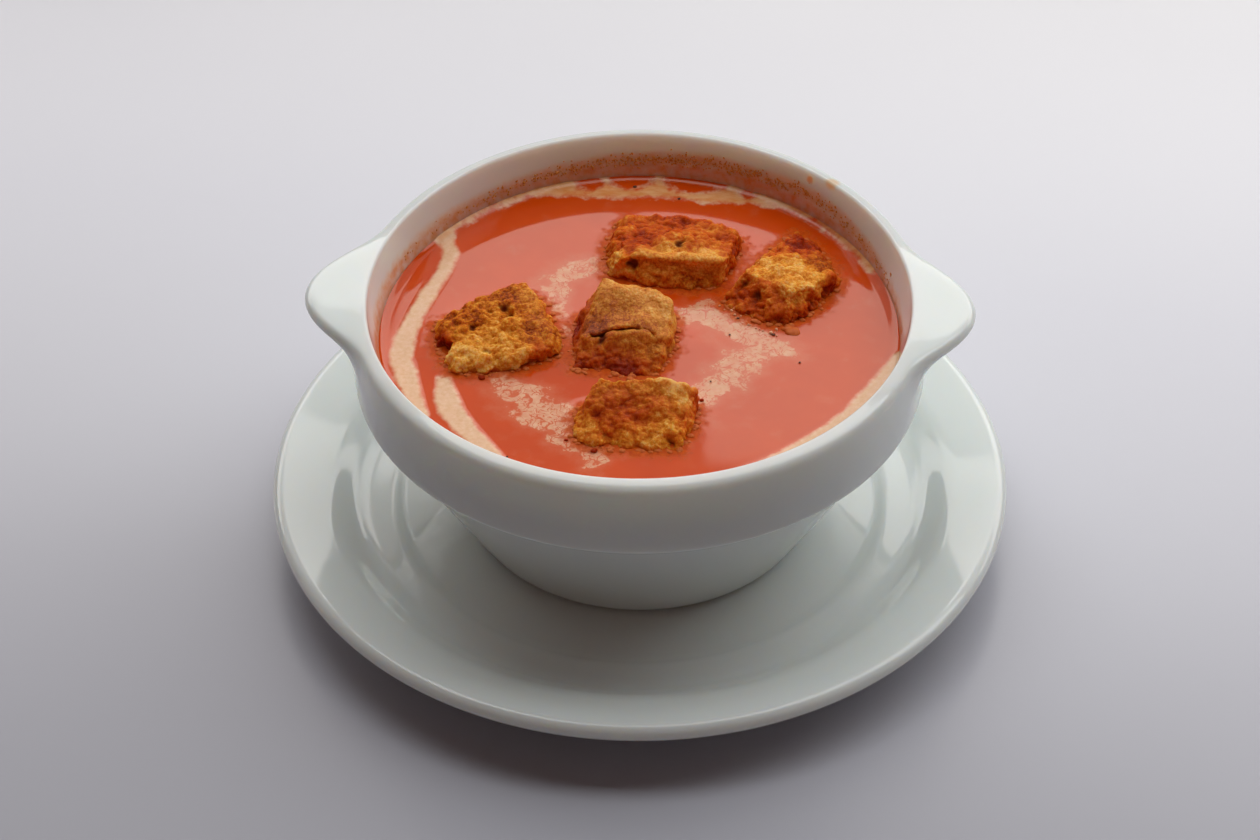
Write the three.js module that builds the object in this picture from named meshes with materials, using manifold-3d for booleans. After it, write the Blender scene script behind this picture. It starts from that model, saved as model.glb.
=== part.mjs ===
// Soup cup on its saucer: creamy tomato soup with a swirl of cream and five toasted bread cubes.
// Millimetres, +Z up. The saucer's foot stands on z = 0, the axis of cup and saucer is Z, the lugs lie on X.
import * as THREE from "three";
import { mergeVertices } from "three/addons/utils/BufferGeometryUtils.js";
import Module from "manifold-3d";

// Saucer
const SAUCER_RADIUS = 85;
const SAUCER_LIP_Z = 15.9;
const SAUCER_LIP_ROUND = 2.1;
const SAUCER_LIP_ARC = [-80, -40, 0, 40, 80, 110];
const SAUCER_WALL = 4.4;
const SAUCER_SHOULDER_RADIUS = 72;
const SAUCER_SHOULDER_Z = 13.2;
const SAUCER_CORNER = 1.8;
const SAUCER_CORNER_EASE = 0.2;
const SAUCER_FLOOR_RADIUS = 65;
const SAUCER_FLOOR_Z = 8.3;
const SAUCER_WELL_RADIUS = 55;
const SAUCER_WELL_Z = 7.4;
const SAUCER_WELL_SLOPE = 2.4;
const SAUCER_FOOT_RADIUS = 51;
const SAUCER_FOOT_WIDTH = 3.4;
const SAUCER_FOOT_HEIGHT = 2.6;
const SAUCER_FOOT_FLARE = 0.9;
const SAUCER_SEGMENTS = 80;

// Cup
const PIECE_GAP = 0.3;
const CUP_FOOT_Z = SAUCER_WELL_Z + PIECE_GAP;
const CUP_FOOT_RADIUS = 40;
const CUP_FOOT_WIDTH = 3.4;
const CUP_FOOT_HEIGHT = 2;
const CUP_FOOT_ROUND = 1;
const CUP_FLOOR_Z = 11.8;
const CUP_FLOOR_ROUND = 3;
const CONE_TOP_RADIUS = 60.8;
const CONE_TOP_Z = 46;
const COLLAR_RADIUS = 64.2;
const COLLAR_BASE_Z = 48.2;
const COLLAR_BASE_ROUND = 1.2;
const RIM_Z = 66.8;
const RIM_INNER_RADIUS = 60.5;
const RIM_INNER_ROUND = 0.6;
const RIM_ROLL = 3.6;
const RIM_STEPS = 5;
const RIM_ARC = [-6, 66];
const RIM_SHOULDER_ARC = 80;
const CUP_WALL = 4.7;
const CUP_SEGMENTS = 92;

// Lugs, pulled out of the collar at both ends of X, flush with the rim
const LUG_TIP_RADIUS = 74.8;
const LUG_TIP_Z = 64.1;
const LUG_TIP_HALF = 1.8;
const LUG_TIP_ARC = [-90, 85];
const LUG_DISH = 0.4;
const LUG_ROOT_Z = 52;
const LUG_HALF_ANGLE = 23;
const LUG_POINT = 2.3;
const LUG_CROWDING = 0.5;
const LUG_UNDERSIDE_STEPS = 4;

// Soup
const SOUP_Z = 55.3;
const SOUP_RADIUS = 58.2;
const SOUP_SEGMENTS = 72;
const MENISCUS_RISE = 1.7;
const MENISCUS_REACH = 4;
const MENISCUS_BEND = 0.35;
const WALL_LEAN = (SOUP_RADIUS - CONE_TOP_RADIUS + CUP_WALL) / (SOUP_Z - CONE_TOP_Z);

// Cream, poured on as ribbons: centre lines on the soup with the ribbon's width at each point
const CREAM_RISE = 0.4;
const CREAM_DEPTH = 1;
const CREAM_STEPS = 4;
const FAR_RING = { outer: 57.8, from: 18, to: 150, points: 12, width: 7.6, ends: 0.2 };
const CREAM_RIBBONS = [
  {
    line: [[-46.3, 33.4], [-45.3, 24.4], [-50.3, 7], [-52.8, -8.3], [-51.2, -15.6], [-46.3, -29.8]],
    width: [3.4, 3.6, 4, 5.2, 5, 3.2],
  },
  { line: [[-42.4, -17.6], [-40.9, -24.9], [-37.5, -31.8], [-27.2, -44.9]], width: [3.2, 5.6, 5.2, 3] },
  {
    line: [[57.9, -5.4], [51.1, -19.8], [43, -31.3], [24.5, -46.4], [7.9, -52.9]],
    width: [2.4, 5, 5, 4.2, 2],
  },
  {
    line: [[-7.1, 26], [-15.9, 21.9], [-21.2, 14.9], [-18.7, 6.3], [-15.7, -1.7]],
    width: [4.5, 7.5, 6.5, 4.5, 3],
  },
  { line: [[7.9, 6.3], [13.9, 8.8], [24, 2.3], [35.2, -4.3]], width: [4.5, 6, 5.5, 2.4] },
  { line: [[25.4, -0.9], [22.5, -10.1], [16.9, -17.3], [13.6, -24.8]], width: [5, 5.5, 6, 4] },
  { line: [[-30.6, -16.7], [-26.5, -23], [-15.2, -32.8], [-8.2, -41.9]], width: [3, 5.5, 6, 3.5] },
];

// Bread cubes: corners of the top face as [x, y, rise above the soup] and of the outline in the soup,
// front left first, anticlockwise
const CUBE_DEPTH = 8;
const CUBE_ROUNDING = 0.34;
const CUBE_BULGE = 1.2;
const CUBE_FACES = [7, 7, 5];
const CUBE_WATERLINE = 0.4;
const CUBE_GAP = 0.45;
const CRAG_HEIGHT = 1.1;
const CRAG_SIZE = 3.4;
const CRAG_FADE = 1.6;
const CUBES = {
  crouton_left: {
    top: [[-41.2, -15.4, 3.2], [-16.7, -9.7, 3.6], [-25.6, 12.8, 6.8], [-45.4, 0.6, 4.6]],
    waterline: [[-42, -16], [-15.7, -8.7], [-23.8, 13.5], [-45.8, 1.3]],
    seed: 11,
  },
  crouton_back: {
    top: [[-5.4, 19.6, 7], [19.2, 18, 7.4], [21.8, 34.3, 4.2], [-6.1, 41.2, 4]],
    waterline: [[-9, 19.9], [17.4, 17.8], [22.6, 35.2], [-6.4, 41.6]],
    seed: 23,
  },
  crouton_right: {
    top: [[23.2, 17.6, 6.5], [33.8, 8.2, 6.8], [45, 18.9, 4.6], [34.2, 36, 3]],
    waterline: [[17.4, 11.4], [33.1, 3.1], [45.8, 20.4], [35, 40]],
    seed: 37,
  },
  crouton_centre: {
    top: [[-12.2, -5.2, 6.2], [7.2, -6.1, 6.2], [8.9, 3.7, 9], [-8.9, 8.5, 11.6]],
    waterline: [[-14.6, -12.8], [4.9, -15.2], [8.8, 6.8], [-14.2, 6.4]],
    seed: 41,
  },
  crouton_front: {
    top: [[-11.3, -37.4, 1.6], [11, -39.1, 1.6], [13.4, -24, 7.6], [-7.8, -24.1, 9.2]],
    waterline: [[-11.9, -37.7], [10.8, -39.7], [14.6, -22.9], [-12.4, -26.2]],
    seed: 59,
  },
};

// A hole torn in the edge of the left cube, and the split in the crust of the middle one
const TORN_HOLE = { node: "crouton_left", at: [-44.2, -9.4, 1.8], radius: 3.4 };
const CRUST_SPLIT = {
  node: "crouton_centre",
  at: [-3.4, -6.4, 5.6],
  size: [15, 6, 1.3],
  turn: 3,
  tilt: -34,
};

const { degToRad, lerp, smoothstep } = THREE.MathUtils;

const wasm = await Module();
wasm.setup();

function solidOf(geometry) {
  const bare = geometry.clone();
  bare.deleteAttribute("normal");
  bare.deleteAttribute("uv");
  const merged = mergeVertices(bare, 1e-4);
  const vertProperties = new Float32Array(merged.attributes.position.array);
  const triVerts = new Uint32Array(merged.index.array);
  return new wasm.Manifold(new wasm.Mesh({ numProp: 3, vertProperties, triVerts }));
}

function geometryOf(solid) {
  const mesh = solid.getMesh();
  const geometry = new THREE.BufferGeometry();
  geometry.setAttribute("position", new THREE.BufferAttribute(new Float32Array(mesh.vertProperties), 3));
  geometry.setIndex(new THREE.BufferAttribute(new Uint32Array(mesh.triVerts), 1));
  geometry.computeVertexNormals();
  return geometry;
}

// Turns a profile of [radius, height] pairs round Z. The profile runs from the axis below to the axis above.
function turned(profile, segments) {
  const points = profile.map(([radius, height]) => new THREE.Vector2(radius, height));
  return new THREE.LatheGeometry(points, segments).rotateX(Math.PI / 2);
}

function moveVertices(geometry, move) {
  const positions = geometry.attributes.position;
  const point = new THREE.Vector3();
  for (let i = 0; i < positions.count; i++) {
    point.fromBufferAttribute(positions, i);
    move(point, i);
    positions.setXYZ(i, point.x, point.y, point.z);
  }
  return geometry;
}

// A point on an ellipse in the profile's plane
function onArc(centre, radii, degrees) {
  const angle = degToRad(degrees);
  return [centre[0] + radii[0] * Math.cos(angle), centre[1] + radii[1] * Math.sin(angle)];
}

function saucerGeometry() {
  const footInside = SAUCER_FOOT_RADIUS - SAUCER_FOOT_WIDTH;
  const lipCentre = [SAUCER_RADIUS - SAUCER_LIP_ROUND, SAUCER_LIP_Z - SAUCER_LIP_ROUND];
  const lipRadii = [SAUCER_LIP_ROUND, SAUCER_LIP_ROUND];
  const shoulder = [SAUCER_SHOULDER_RADIUS, SAUCER_SHOULDER_Z];
  const floor = [SAUCER_FLOOR_RADIUS, SAUCER_FLOOR_Z];
  const onLine = (from, to, radius) => lerp(from[1], to[1], (radius - from[0]) / (to[0] - from[0]));
  const aboveCorner = shoulder[0] + SAUCER_CORNER;
  const belowCorner = shoulder[0] - SAUCER_CORNER;
  const slopeFoot = floor[0] + SAUCER_CORNER;
  return turned(
    [
      [0, SAUCER_FOOT_HEIGHT],
      [footInside - SAUCER_FOOT_FLARE, SAUCER_FOOT_HEIGHT],
      [footInside, 0],
      [SAUCER_FOOT_RADIUS, 0],
      [SAUCER_FOOT_RADIUS + SAUCER_FOOT_FLARE, SAUCER_FOOT_HEIGHT],
      [floor[0], floor[1] - SAUCER_WALL],
      [aboveCorner, shoulder[1] - SAUCER_WALL],
      ...SAUCER_LIP_ARC.map((degrees) => onArc(lipCentre, lipRadii, degrees)),
      [aboveCorner, onLine(shoulder, [SAUCER_RADIUS, SAUCER_LIP_Z], aboveCorner)],
      [shoulder[0], shoulder[1] - SAUCER_CORNER_EASE],
      [belowCorner, onLine(floor, shoulder, belowCorner)],
      [slopeFoot, onLine(floor, shoulder, slopeFoot)],
      [floor[0], floor[1] + SAUCER_CORNER_EASE],
      [floor[0] - SAUCER_CORNER, floor[1]],
      [SAUCER_WELL_RADIUS + SAUCER_WELL_SLOPE, floor[1]],
      [SAUCER_WELL_RADIUS, SAUCER_WELL_Z],
      [0, SAUCER_WELL_Z],
    ],
    SAUCER_SEGMENTS,
  );
}

// Inner face of the cup from its floor up to the soup's level, set in by a margin
function innerProfile(margin) {
  const inset = CUP_WALL + margin;
  const floor = CUP_FLOOR_Z + margin;
  return [
    [0, floor],
    [CUP_FOOT_RADIUS - inset - CUP_FLOOR_ROUND, floor + 0.1 * CUP_FLOOR_ROUND],
    [CUP_FOOT_RADIUS - inset + CUP_FLOOR_ROUND, floor + CUP_FLOOR_ROUND],
    [CONE_TOP_RADIUS - inset, CONE_TOP_Z],
    [SOUP_RADIUS - margin, SOUP_Z],
  ];
}

// How far a lug stands out at an angle round the cup, from 0 on the plain collar to 1 at a tip
function lugAt(angle) {
  const away = Math.abs(Math.atan2(Math.sin(2 * angle), Math.cos(2 * angle))) / 2;
  const share = away / degToRad(LUG_HALF_ANGLE);
  return share < 1 ? Math.cos((Math.PI / 2) * share) ** LUG_POINT : 0;
}

// Outline of collar and rim from the collar's base to the crown, as [plain point, the same point on a lug]
function collarAndRim() {
  const crown = RIM_INNER_RADIUS + RIM_INNER_ROUND;
  const rolled = (degrees) =>
    onArc([crown, RIM_Z - RIM_ROLL], [COLLAR_RADIUS - crown, RIM_ROLL], degrees);
  const tipCentre = [LUG_TIP_RADIUS - LUG_TIP_HALF, LUG_TIP_Z];
  const tip = (degrees) => onArc(tipCentre, [LUG_TIP_HALF, LUG_TIP_HALF], degrees);
  const underside = [tipCentre[0] - COLLAR_RADIUS, LUG_TIP_Z - LUG_TIP_HALF - LUG_ROOT_Z];
  const pairs = [[[COLLAR_RADIUS, COLLAR_BASE_Z], [COLLAR_RADIUS, COLLAR_BASE_Z]]];
  for (let i = 0; i < LUG_UNDERSIDE_STEPS; i++) {
    const share = i / LUG_UNDERSIDE_STEPS;
    const turn = (share * Math.PI) / 2;
    const onLug = [
      COLLAR_RADIUS + underside[0] * (1 - Math.cos(turn)),
      LUG_ROOT_Z + underside[1] * Math.sin(turn),
    ];
    pairs.push([[COLLAR_RADIUS, lerp(LUG_ROOT_Z, LUG_TIP_Z - LUG_TIP_HALF, share)], onLug]);
  }
  for (let i = 0; i < RIM_STEPS; i++) {
    const share = i / (RIM_STEPS - 1);
    pairs.push([rolled(lerp(...RIM_ARC, share)), tip(lerp(...LUG_TIP_ARC, share))]);
  }
  pairs.push([rolled(RIM_SHOULDER_ARC), [crown + underside[0] / 2, RIM_Z - LUG_DISH]]);
  pairs.push([rolled(90), [crown, RIM_Z]]);
  return pairs;
}

function cupGeometry() {
  const foot = CUP_FOOT_RADIUS - CUP_FOOT_WIDTH;
  const outside = [
    [0, CUP_FOOT_Z + CUP_FOOT_HEIGHT],
    [foot - CUP_FOOT_ROUND, CUP_FOOT_Z + CUP_FOOT_HEIGHT],
    [foot, CUP_FOOT_Z],
    [CUP_FOOT_RADIUS - CUP_FOOT_ROUND / 2, CUP_FOOT_Z],
    [CUP_FOOT_RADIUS + CUP_FOOT_ROUND / 2, CUP_FOOT_Z + CUP_FOOT_ROUND],
    [CONE_TOP_RADIUS, CONE_TOP_Z],
    [COLLAR_RADIUS - COLLAR_BASE_ROUND, COLLAR_BASE_Z - COLLAR_BASE_ROUND],
  ];
  const inside = [[RIM_INNER_RADIUS, RIM_Z - 2 * RIM_INNER_ROUND], ...innerProfile(0).reverse()];
  const collar = collarAndRim();
  const profile = [...outside, ...collar.map(([plain]) => plain), ...inside];
  return moveVertices(turned(profile, CUP_SEGMENTS), (point, index) => {
    const even = Math.atan2(point.y, point.x);
    const angle = even - (LUG_CROWDING / 2) * Math.sin(2 * even);
    const onCollar = collar[(index % profile.length) - outside.length];
    let radius = Math.hypot(point.x, point.y);
    if (onCollar) {
      const [plain, lug] = onCollar;
      radius += lugAt(angle) * (lug[0] - plain[0]);
      point.z += lugAt(angle) * (lug[1] - plain[1]);
    }
    point.x = radius * Math.cos(angle);
    point.y = radius * Math.sin(angle);
  });
}

// Smooth noise between -1 and 1 from hashed lattice points
function noiseAt(x, y, z, seed) {
  const hash = (i, j, k) => {
    let mixed = Math.imul(i, 374761393) ^ Math.imul(j, 668265263);
    mixed ^= Math.imul(k, 2147483647) ^ Math.imul(seed, 1274126177);
    mixed = Math.imul(mixed ^ (mixed >>> 13), 1103515245);
    return ((mixed ^ (mixed >>> 16)) >>> 0) / 2147483648 - 1;
  };
  const cell = [x, y, z].map(Math.floor);
  const blend = [x, y, z].map((value, i) => smoothstep(value - cell[i], 0, 1));
  let sum = 0;
  for (let corner = 0; corner < 8; corner++) {
    const step = [corner & 1, (corner >> 1) & 1, corner >> 2];
    const weight = step.reduce((product, bit, i) => product * (bit ? blend[i] : 1 - blend[i]), 1);
    sum += weight * hash(cell[0] + step[0], cell[1] + step[1], cell[2] + step[2]);
  }
  return sum;
}

// A torn bread cube: a box carried to its top, its waterline and its foot, rounded, with crags above the soup
function cubeGeometry({ top, waterline, seed }, margin) {
  const outlineAt = (rise) => waterline.map(([x, y]) => [x, y, rise]);
  const layers = [outlineAt(-CUBE_DEPTH), outlineAt(0), top];
  const between = (across, along, up, axis) => {
    const [foot, water, crown] = layers.map((face) => {
      const front = lerp(face[0][axis], face[1][axis], across);
      const back = lerp(face[3][axis], face[2][axis], across);
      return lerp(front, back, along);
    });
    if (up < CUBE_WATERLINE) {
      return lerp(foot, water, up / CUBE_WATERLINE);
    }
    return lerp(water, crown, (up - CUBE_WATERLINE) / (1 - CUBE_WATERLINE));
  };
  const middle = [0, 1, 2].map((axis) => between(0.5, 0.5, 0.5, axis));
  const box = new THREE.BoxGeometry(2, 2, 2, ...CUBE_FACES);
  return moveVertices(box, (point) => {
    const round = point.clone().normalize().multiplyScalar(CUBE_BULGE);
    point.lerp(round, CUBE_ROUNDING);
    const share = point.toArray().map((value) => (value + 1) / 2);
    const place = [0, 1, 2].map((axis) => between(...share, axis));
    const out = new THREE.Vector3(...place.map((value, axis) => value - middle[axis])).normalize();
    const coarse = noiseAt(...place.map((value) => value / CRAG_SIZE), seed);
    const fine = noiseAt(...place.map((value) => (2 * value) / CRAG_SIZE), seed + 1);
    const showing = smoothstep(place[2], 0, CRAG_FADE);
    const push = margin + CRAG_HEIGHT * showing * (coarse + 0.5 * fine);
    point.set(...place).addScaledVector(out, push);
    point.z += SOUP_Z;
  });
}

// The cube with its hole or split cut, without the loose crumbs that fall off
function cubeSolid(name) {
  let solid = solidOf(cubeGeometry(CUBES[name], 0));
  if (name === TORN_HOLE.node) {
    const [x, y, rise] = TORN_HOLE.at;
    const hole = new THREE.SphereGeometry(TORN_HOLE.radius, 10, 7).translate(x, y, SOUP_Z + rise);
    solid = solid.subtract(solidOf(hole));
  }
  if (name === CRUST_SPLIT.node) {
    const [x, y, rise] = CRUST_SPLIT.at;
    const split = new THREE.BoxGeometry(...CRUST_SPLIT.size);
    split.rotateX(degToRad(CRUST_SPLIT.tilt));
    split.rotateZ(degToRad(CRUST_SPLIT.turn));
    solid = solid.subtract(solidOf(split.translate(x, y, SOUP_Z + rise)));
  }
  return solid.decompose().reduce((best, body) => (body.volume() > best.volume() ? body : best));
}

// The ring of cream along the far wall, widest in its middle
function farRing() {
  const { outer, from, to, points, width, ends } = FAR_RING;
  const shares = Array.from({ length: points }, (_, i) => i / (points - 1));
  const widths = shares.map((share) => width * lerp(ends, 1, Math.sin(Math.PI * share) ** 2));
  const line = shares.map((share, i) => {
    const angle = degToRad(lerp(from, to, share));
    const radius = outer - widths[i] / 2;
    return [radius * Math.cos(angle), radius * Math.sin(angle)];
  });
  return { line, width: widths };
}

// A ribbon of cream: its centre line widened to both sides and raised from the soup
function ribbonGeometry({ line, width }) {
  const curve = new THREE.SplineCurve(line.map(([x, y]) => new THREE.Vector2(x, y)));
  const steps = CREAM_STEPS * (line.length - 1);
  const sides = [[], []];
  for (let i = 0; i <= steps; i++) {
    const at = (i / steps) * (line.length - 1);
    const index = Math.min(Math.floor(at), line.length - 2);
    const half = lerp(width[index], width[index + 1], at - index) / 2;
    const point = curve.getPoint(i / steps);
    const along = curve.getTangent(i / steps);
    sides[0].push(new THREE.Vector2(point.x + half * along.y, point.y - half * along.x));
    sides[1].unshift(new THREE.Vector2(point.x - half * along.y, point.y + half * along.x));
  }
  const shape = new THREE.Shape([...sides[0], ...sides[1]]);
  const raised = { depth: CREAM_DEPTH + CREAM_RISE, bevelEnabled: false };
  return new THREE.ExtrudeGeometry(shape, raised).translate(0, 0, SOUP_Z - CREAM_DEPTH);
}

function soupSolid() {
  const wall = SOUP_RADIUS - PIECE_GAP;
  const surface = [
    [wall + MENISCUS_RISE * WALL_LEAN, SOUP_Z + MENISCUS_RISE],
    [wall - MENISCUS_BEND * MENISCUS_REACH, SOUP_Z + MENISCUS_BEND * MENISCUS_RISE],
    [wall - MENISCUS_REACH, SOUP_Z],
    [0, SOUP_Z],
  ];
  const body = solidOf(turned([...innerProfile(PIECE_GAP), ...surface], SOUP_SEGMENTS));
  const reach = SOUP_RADIUS - 2 * PIECE_GAP;
  const disc = new THREE.CylinderGeometry(reach, reach, 4 * CREAM_DEPTH, SOUP_SEGMENTS);
  const inside = solidOf(disc.rotateX(Math.PI / 2).translate(0, 0, SOUP_Z));
  let soup = body;
  for (const ribbon of [farRing(), ...CREAM_RIBBONS]) {
    soup = soup.add(solidOf(ribbonGeometry(ribbon)).intersect(inside));
  }
  for (const cube of Object.values(CUBES)) {
    soup = soup.subtract(solidOf(cubeGeometry(cube, CUBE_GAP)));
  }
  return soup;
}

const porcelain = new THREE.MeshStandardMaterial({ color: 0xe4e8e2, roughness: 0.16, metalness: 0 });
const soupRed = new THREE.MeshStandardMaterial({ color: 0xc4552f, roughness: 0.2, metalness: 0 });
const toast = new THREE.MeshStandardMaterial({ color: 0xb06a1c, roughness: 0.8, metalness: 0 });

function piece(name, geometry, material) {
  const mesh = new THREE.Mesh(geometry, material);
  mesh.name = name;
  return mesh;
}

const soupCup = new THREE.Group();
soupCup.add(piece("saucer", saucerGeometry(), porcelain));
soupCup.add(piece("bowl", cupGeometry(), porcelain));
soupCup.add(piece("soup", geometryOf(soupSolid()), soupRed));
for (const name of Object.keys(CUBES)) {
  soupCup.add(piece(name, geometryOf(cubeSolid(name)), toast));
}

export default soupCup;
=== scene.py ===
# Looks of a lugged soup bowl on its saucer: creamy tomato soup, poured cream and toasted bread cubes.
# Sizes are in millimetres and become metres where a mesh is made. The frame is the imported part's own.
# A noise is (bump size, detail, low, high, roughness), the last three if given. Tints are (place, colour).
import math

import bmesh
import bpy
import numpy as np
from mathutils import Matrix, Vector, geometry, noise


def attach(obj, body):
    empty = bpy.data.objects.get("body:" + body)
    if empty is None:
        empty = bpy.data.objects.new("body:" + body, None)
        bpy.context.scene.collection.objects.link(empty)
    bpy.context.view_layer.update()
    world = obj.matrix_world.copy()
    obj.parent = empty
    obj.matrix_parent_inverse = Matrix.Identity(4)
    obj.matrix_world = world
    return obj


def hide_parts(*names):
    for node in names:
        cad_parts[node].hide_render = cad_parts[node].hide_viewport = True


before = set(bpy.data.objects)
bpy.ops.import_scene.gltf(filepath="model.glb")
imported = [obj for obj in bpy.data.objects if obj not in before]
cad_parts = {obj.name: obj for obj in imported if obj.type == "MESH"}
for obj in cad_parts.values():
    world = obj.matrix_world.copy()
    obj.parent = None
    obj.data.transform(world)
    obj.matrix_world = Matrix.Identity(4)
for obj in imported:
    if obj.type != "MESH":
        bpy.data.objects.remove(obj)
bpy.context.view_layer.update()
MM = 0.001

# Points within WELD metres are one, and FAR_OFF is a distance beyond the object
WELD = 1e-6
FAR_OFF = 1e3
NOISE_MIDDLE = 0.5
NOISE_SHIFT = (17.3, 5.1, 9.7)
DOME_SHIFT = (3.7, 11.9, 7.3)

# Camera, fitted to the outlines of saucer, bowl and soup in a picture 1260 pixels wide
IMAGE_WIDTH = 1260
FOCAL_PIXELS = 3388.3
SENSOR_WIDTH = 36.0
CAMERA_AZIMUTH = 3.2
CAMERA_ELEVATION = 41.0
CAMERA_ROLL = -0.38
CAMERA_DISTANCE = 777.4
CAMERA_TARGET = (-2.187, -0.122, 30.05)
CAMERA_NEAR = 10.0

# Light: two low panes behind, a dim strip over each, a wide skylight above and a dim warm fill in front.
# Places are in metres, powers in watts. A pane is (name, left edge, right edge, sill, top, radiance),
# a lamp is (name, place, aim, size, power, tint).
PANE_DISTANCE = 0.7
PANES = [
    ("left_pane", -1.2, -0.03, 0.36, 0.645, 2.7),
    ("right_pane", -0.03, 1.7, 0.36, 0.72, 2.7),
    ("left_head", -1.2, -0.03, 0.65, 1.0, 0.75),
    ("right_head", -0.03, 1.7, 0.725, 1.0, 0.75),
]
PANE_TINT = (1.0, 0.985, 0.955)
LAMPS = [
    ("skylight", (0.42, 0.26, 0.93), (0.42, 0, 0.03), (1.8, 0.5), 7.5, (0.96, 1.0, 1.01)),
    ("front_fill", (0.2, -1.6, 0.7), (0, 0, 0.05), (1.6, 1.0), 0.25, (1.0, 0.74, 0.66)),
]
WORLD_TINT = (0.80, 0.50, 0.42)
WORLD_STRENGTH = 0.12

# Floor: its tone rises away from the viewer, between places in metres, and to the right by the slant: painted
# light and painted reflection of the window
FLOOR_LIGHT_TINTS = [
    (-0.26, (0.35, 0.355, 0.40)), (-0.1, (0.46, 0.465, 0.52)),
    (0.1, (0.67, 0.675, 0.74)), (0.3, (0.97, 0.97, 0.99)),
]
FLOOR_SLANT = 0.18
FLOOR_REACH = 4.0
FLOOR_CLOUD = (160.0, 2.0)
FLOOR_CLOUD_SHIFT = 0.03
FLOOR_ROUGHNESS = (0.18, 0.28)

# Saucer: a profile's corners are (radius, height, rounding), an arc is (first angle, last angle, points)
SAUCER_RADIUS = 85.0
SAUCER_LIP_Z = 15.9
SAUCER_LIP_ROUND = 2.1
SAUCER_LIP_ARC = (-80, 110, 16)
SAUCER_UNDERSIDE = [
    (0, 2.6, 0), (46.7, 2.6, 0.8), (47.6, 0, 0.7), (51, 0, 0.7), (51.9, 2.6, 1.2),
    (65, 3.9, 5), (73.8, 8.8, 5),
]
SAUCER_TOP = [(72, 13.2, 2.4), (65, 8.3, 3), (57.4, 8.3, 1), (55, 7.4, 1.2), (0, 7.4, 0)]
SAUCER_SEGMENTS = 288

# Bowl: the section through a lug has as many points as the plain one, which is pulled out to it
BOWL_OUTSIDE = [
    (0, 9.7, 0), (35.6, 9.7, 0.8), (36.6, 7.7, 0.6), (39.5, 7.7, 0.6), (40.5, 8.7, 0.8),
    (60.8, 46, 2.5), (63, 47, 1), (64.2, 48.2, 0.8), (64.2, 52, 0),
]
BOWL_INSIDE = [
    (60.5, 65.8, 0), (58.6, 57.2, 3), (56.1, 46, 4), (38.3, 14.8, 3), (32.3, 12.1, 3), (0, 11.8, 0),
]
BOWL_SEGMENTS = 320
COLLAR_RADIUS = 64.2
COLLAR_POINTS = 21
RIM_Z = 66.8
RIM_CROWN_RADIUS = 61.1
RIM_OUTSIDE = [(64.2, 62.3, 0), (64.2, 64.8, 1.2), (63.4, 66.1, 1.2), (61.1, 66.8, 0)]
RIM_FINENESS = 0.3
RIM_LIP_ARC = (90, 172, 12)
LUG_ROOT_Z = 52.0
LUG_TIP_RADIUS = 74.8
LUG_TIP_Z = 64.1
LUG_TIP_HALF = 1.8
LUG_TIP_ARC = (-90, 85, 18)
LUG_DISH = 0.3
LUG_DISH_POINTS = 13
LUG_HALF_ANGLE = 23.0
LUG_POINT = 2.3
LUG_CROWDING = 0.5

# Glaze
GLAZE_WAVE = 0.05
GLAZE_WAVE_SIZE = 22.0
GLAZE_CLOUD = (30.0, 2.0)
GLAZE_TINTS = [(0.25, (0.745, 0.80, 0.78)), (0.75, (0.77, 0.82, 0.805))]
GLAZE_ROUGHNESS = (9.0, 3.0, 0.04, 0.09)
GLAZE_BODY = {
    "IOR": 1.52,
    "Subsurface Weight": 0.8,
    "Subsurface Radius": (1.0, 0.85, 0.70),
    "Subsurface Scale": 0.005,
}

# Soup left on the bowl's wall: a film with a wavy top, a dried line of specks in a thin veil, and two smears.
# Heights are given at places round the bowl, in turns from +X. A smear is (place, size, strength).
STAIN_HEIGHTS = (55.0, 63.0)
STAIN_BOTTOM = (50.0, 52.0)
STAIN_RADII = (60.6, 61.2)
STAIN_WAVER = (3.0, 4.0, -1.5, 1.5)
STAIN_DRYING = (-3.0, -0.5)
STAIN_GRAIN = (1.2, 3.0, -0.3, 0.3)
STAIN_TINTS = [(0.0, (0.72, 0.25, 0.03)), (0.6, (0.74, 0.36, 0.09)), (1.0, (0.76, 0.46, 0.18))]
FILM_TOP = [
    (0.0, 59.6), (0.08, 59.6), (0.12, 60.5), (0.16, 61.2), (0.22, 61.0), (0.28, 60.4), (0.34, 60.4),
    (0.42, 60.8), (0.50, 61.4), (0.56, 60.4), (0.62, 57.6), (0.97, 58.6),
]
FILM_FADE = (-2.4, 0.5)
FILM_COVER = (2.2, 4.0, 0.1, 1.2)
FILM_MOST = 0.9
SPECK_LINE = [
    (0.06, 57.8), (0.09, 58.9), (0.12, 60.3), (0.15, 61.0), (0.18, 60.2), (0.21, 60.8), (0.26, 60.0),
    (0.31, 59.1), (0.36, 58.0), (0.42, 58.8),
]
LINE_WAVER = 0.25
LINE_START = (0.05, 0.08)
LINE_END = (0.40, 0.45)
LINE_FADE = (0.4, 1.5)
LINE_GRAIN = (1.1, 4.0, 0, 1, 0.7)
LINE_GRAIN_EDGE = (0.38, 0.56)
LINE_GAPS = (6.0, 2.0)
LINE_GAPS_EDGE = (0.30, 0.48)
LINE_STRENGTH = 0.8
VEIL_FADE = (0.7, 2.8)
VEIL_COVER = (2.0, 4.0, -0.1, 1.2)
VEIL_MOST = 0.85
SMEARS = [((42.7, 43.7, 66.6), 2.2, 0.55), ((37.6, 47.3, 64.6), 1.2, 0.7)]
SMEAR_FADE = (0.4, 1.0)

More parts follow.
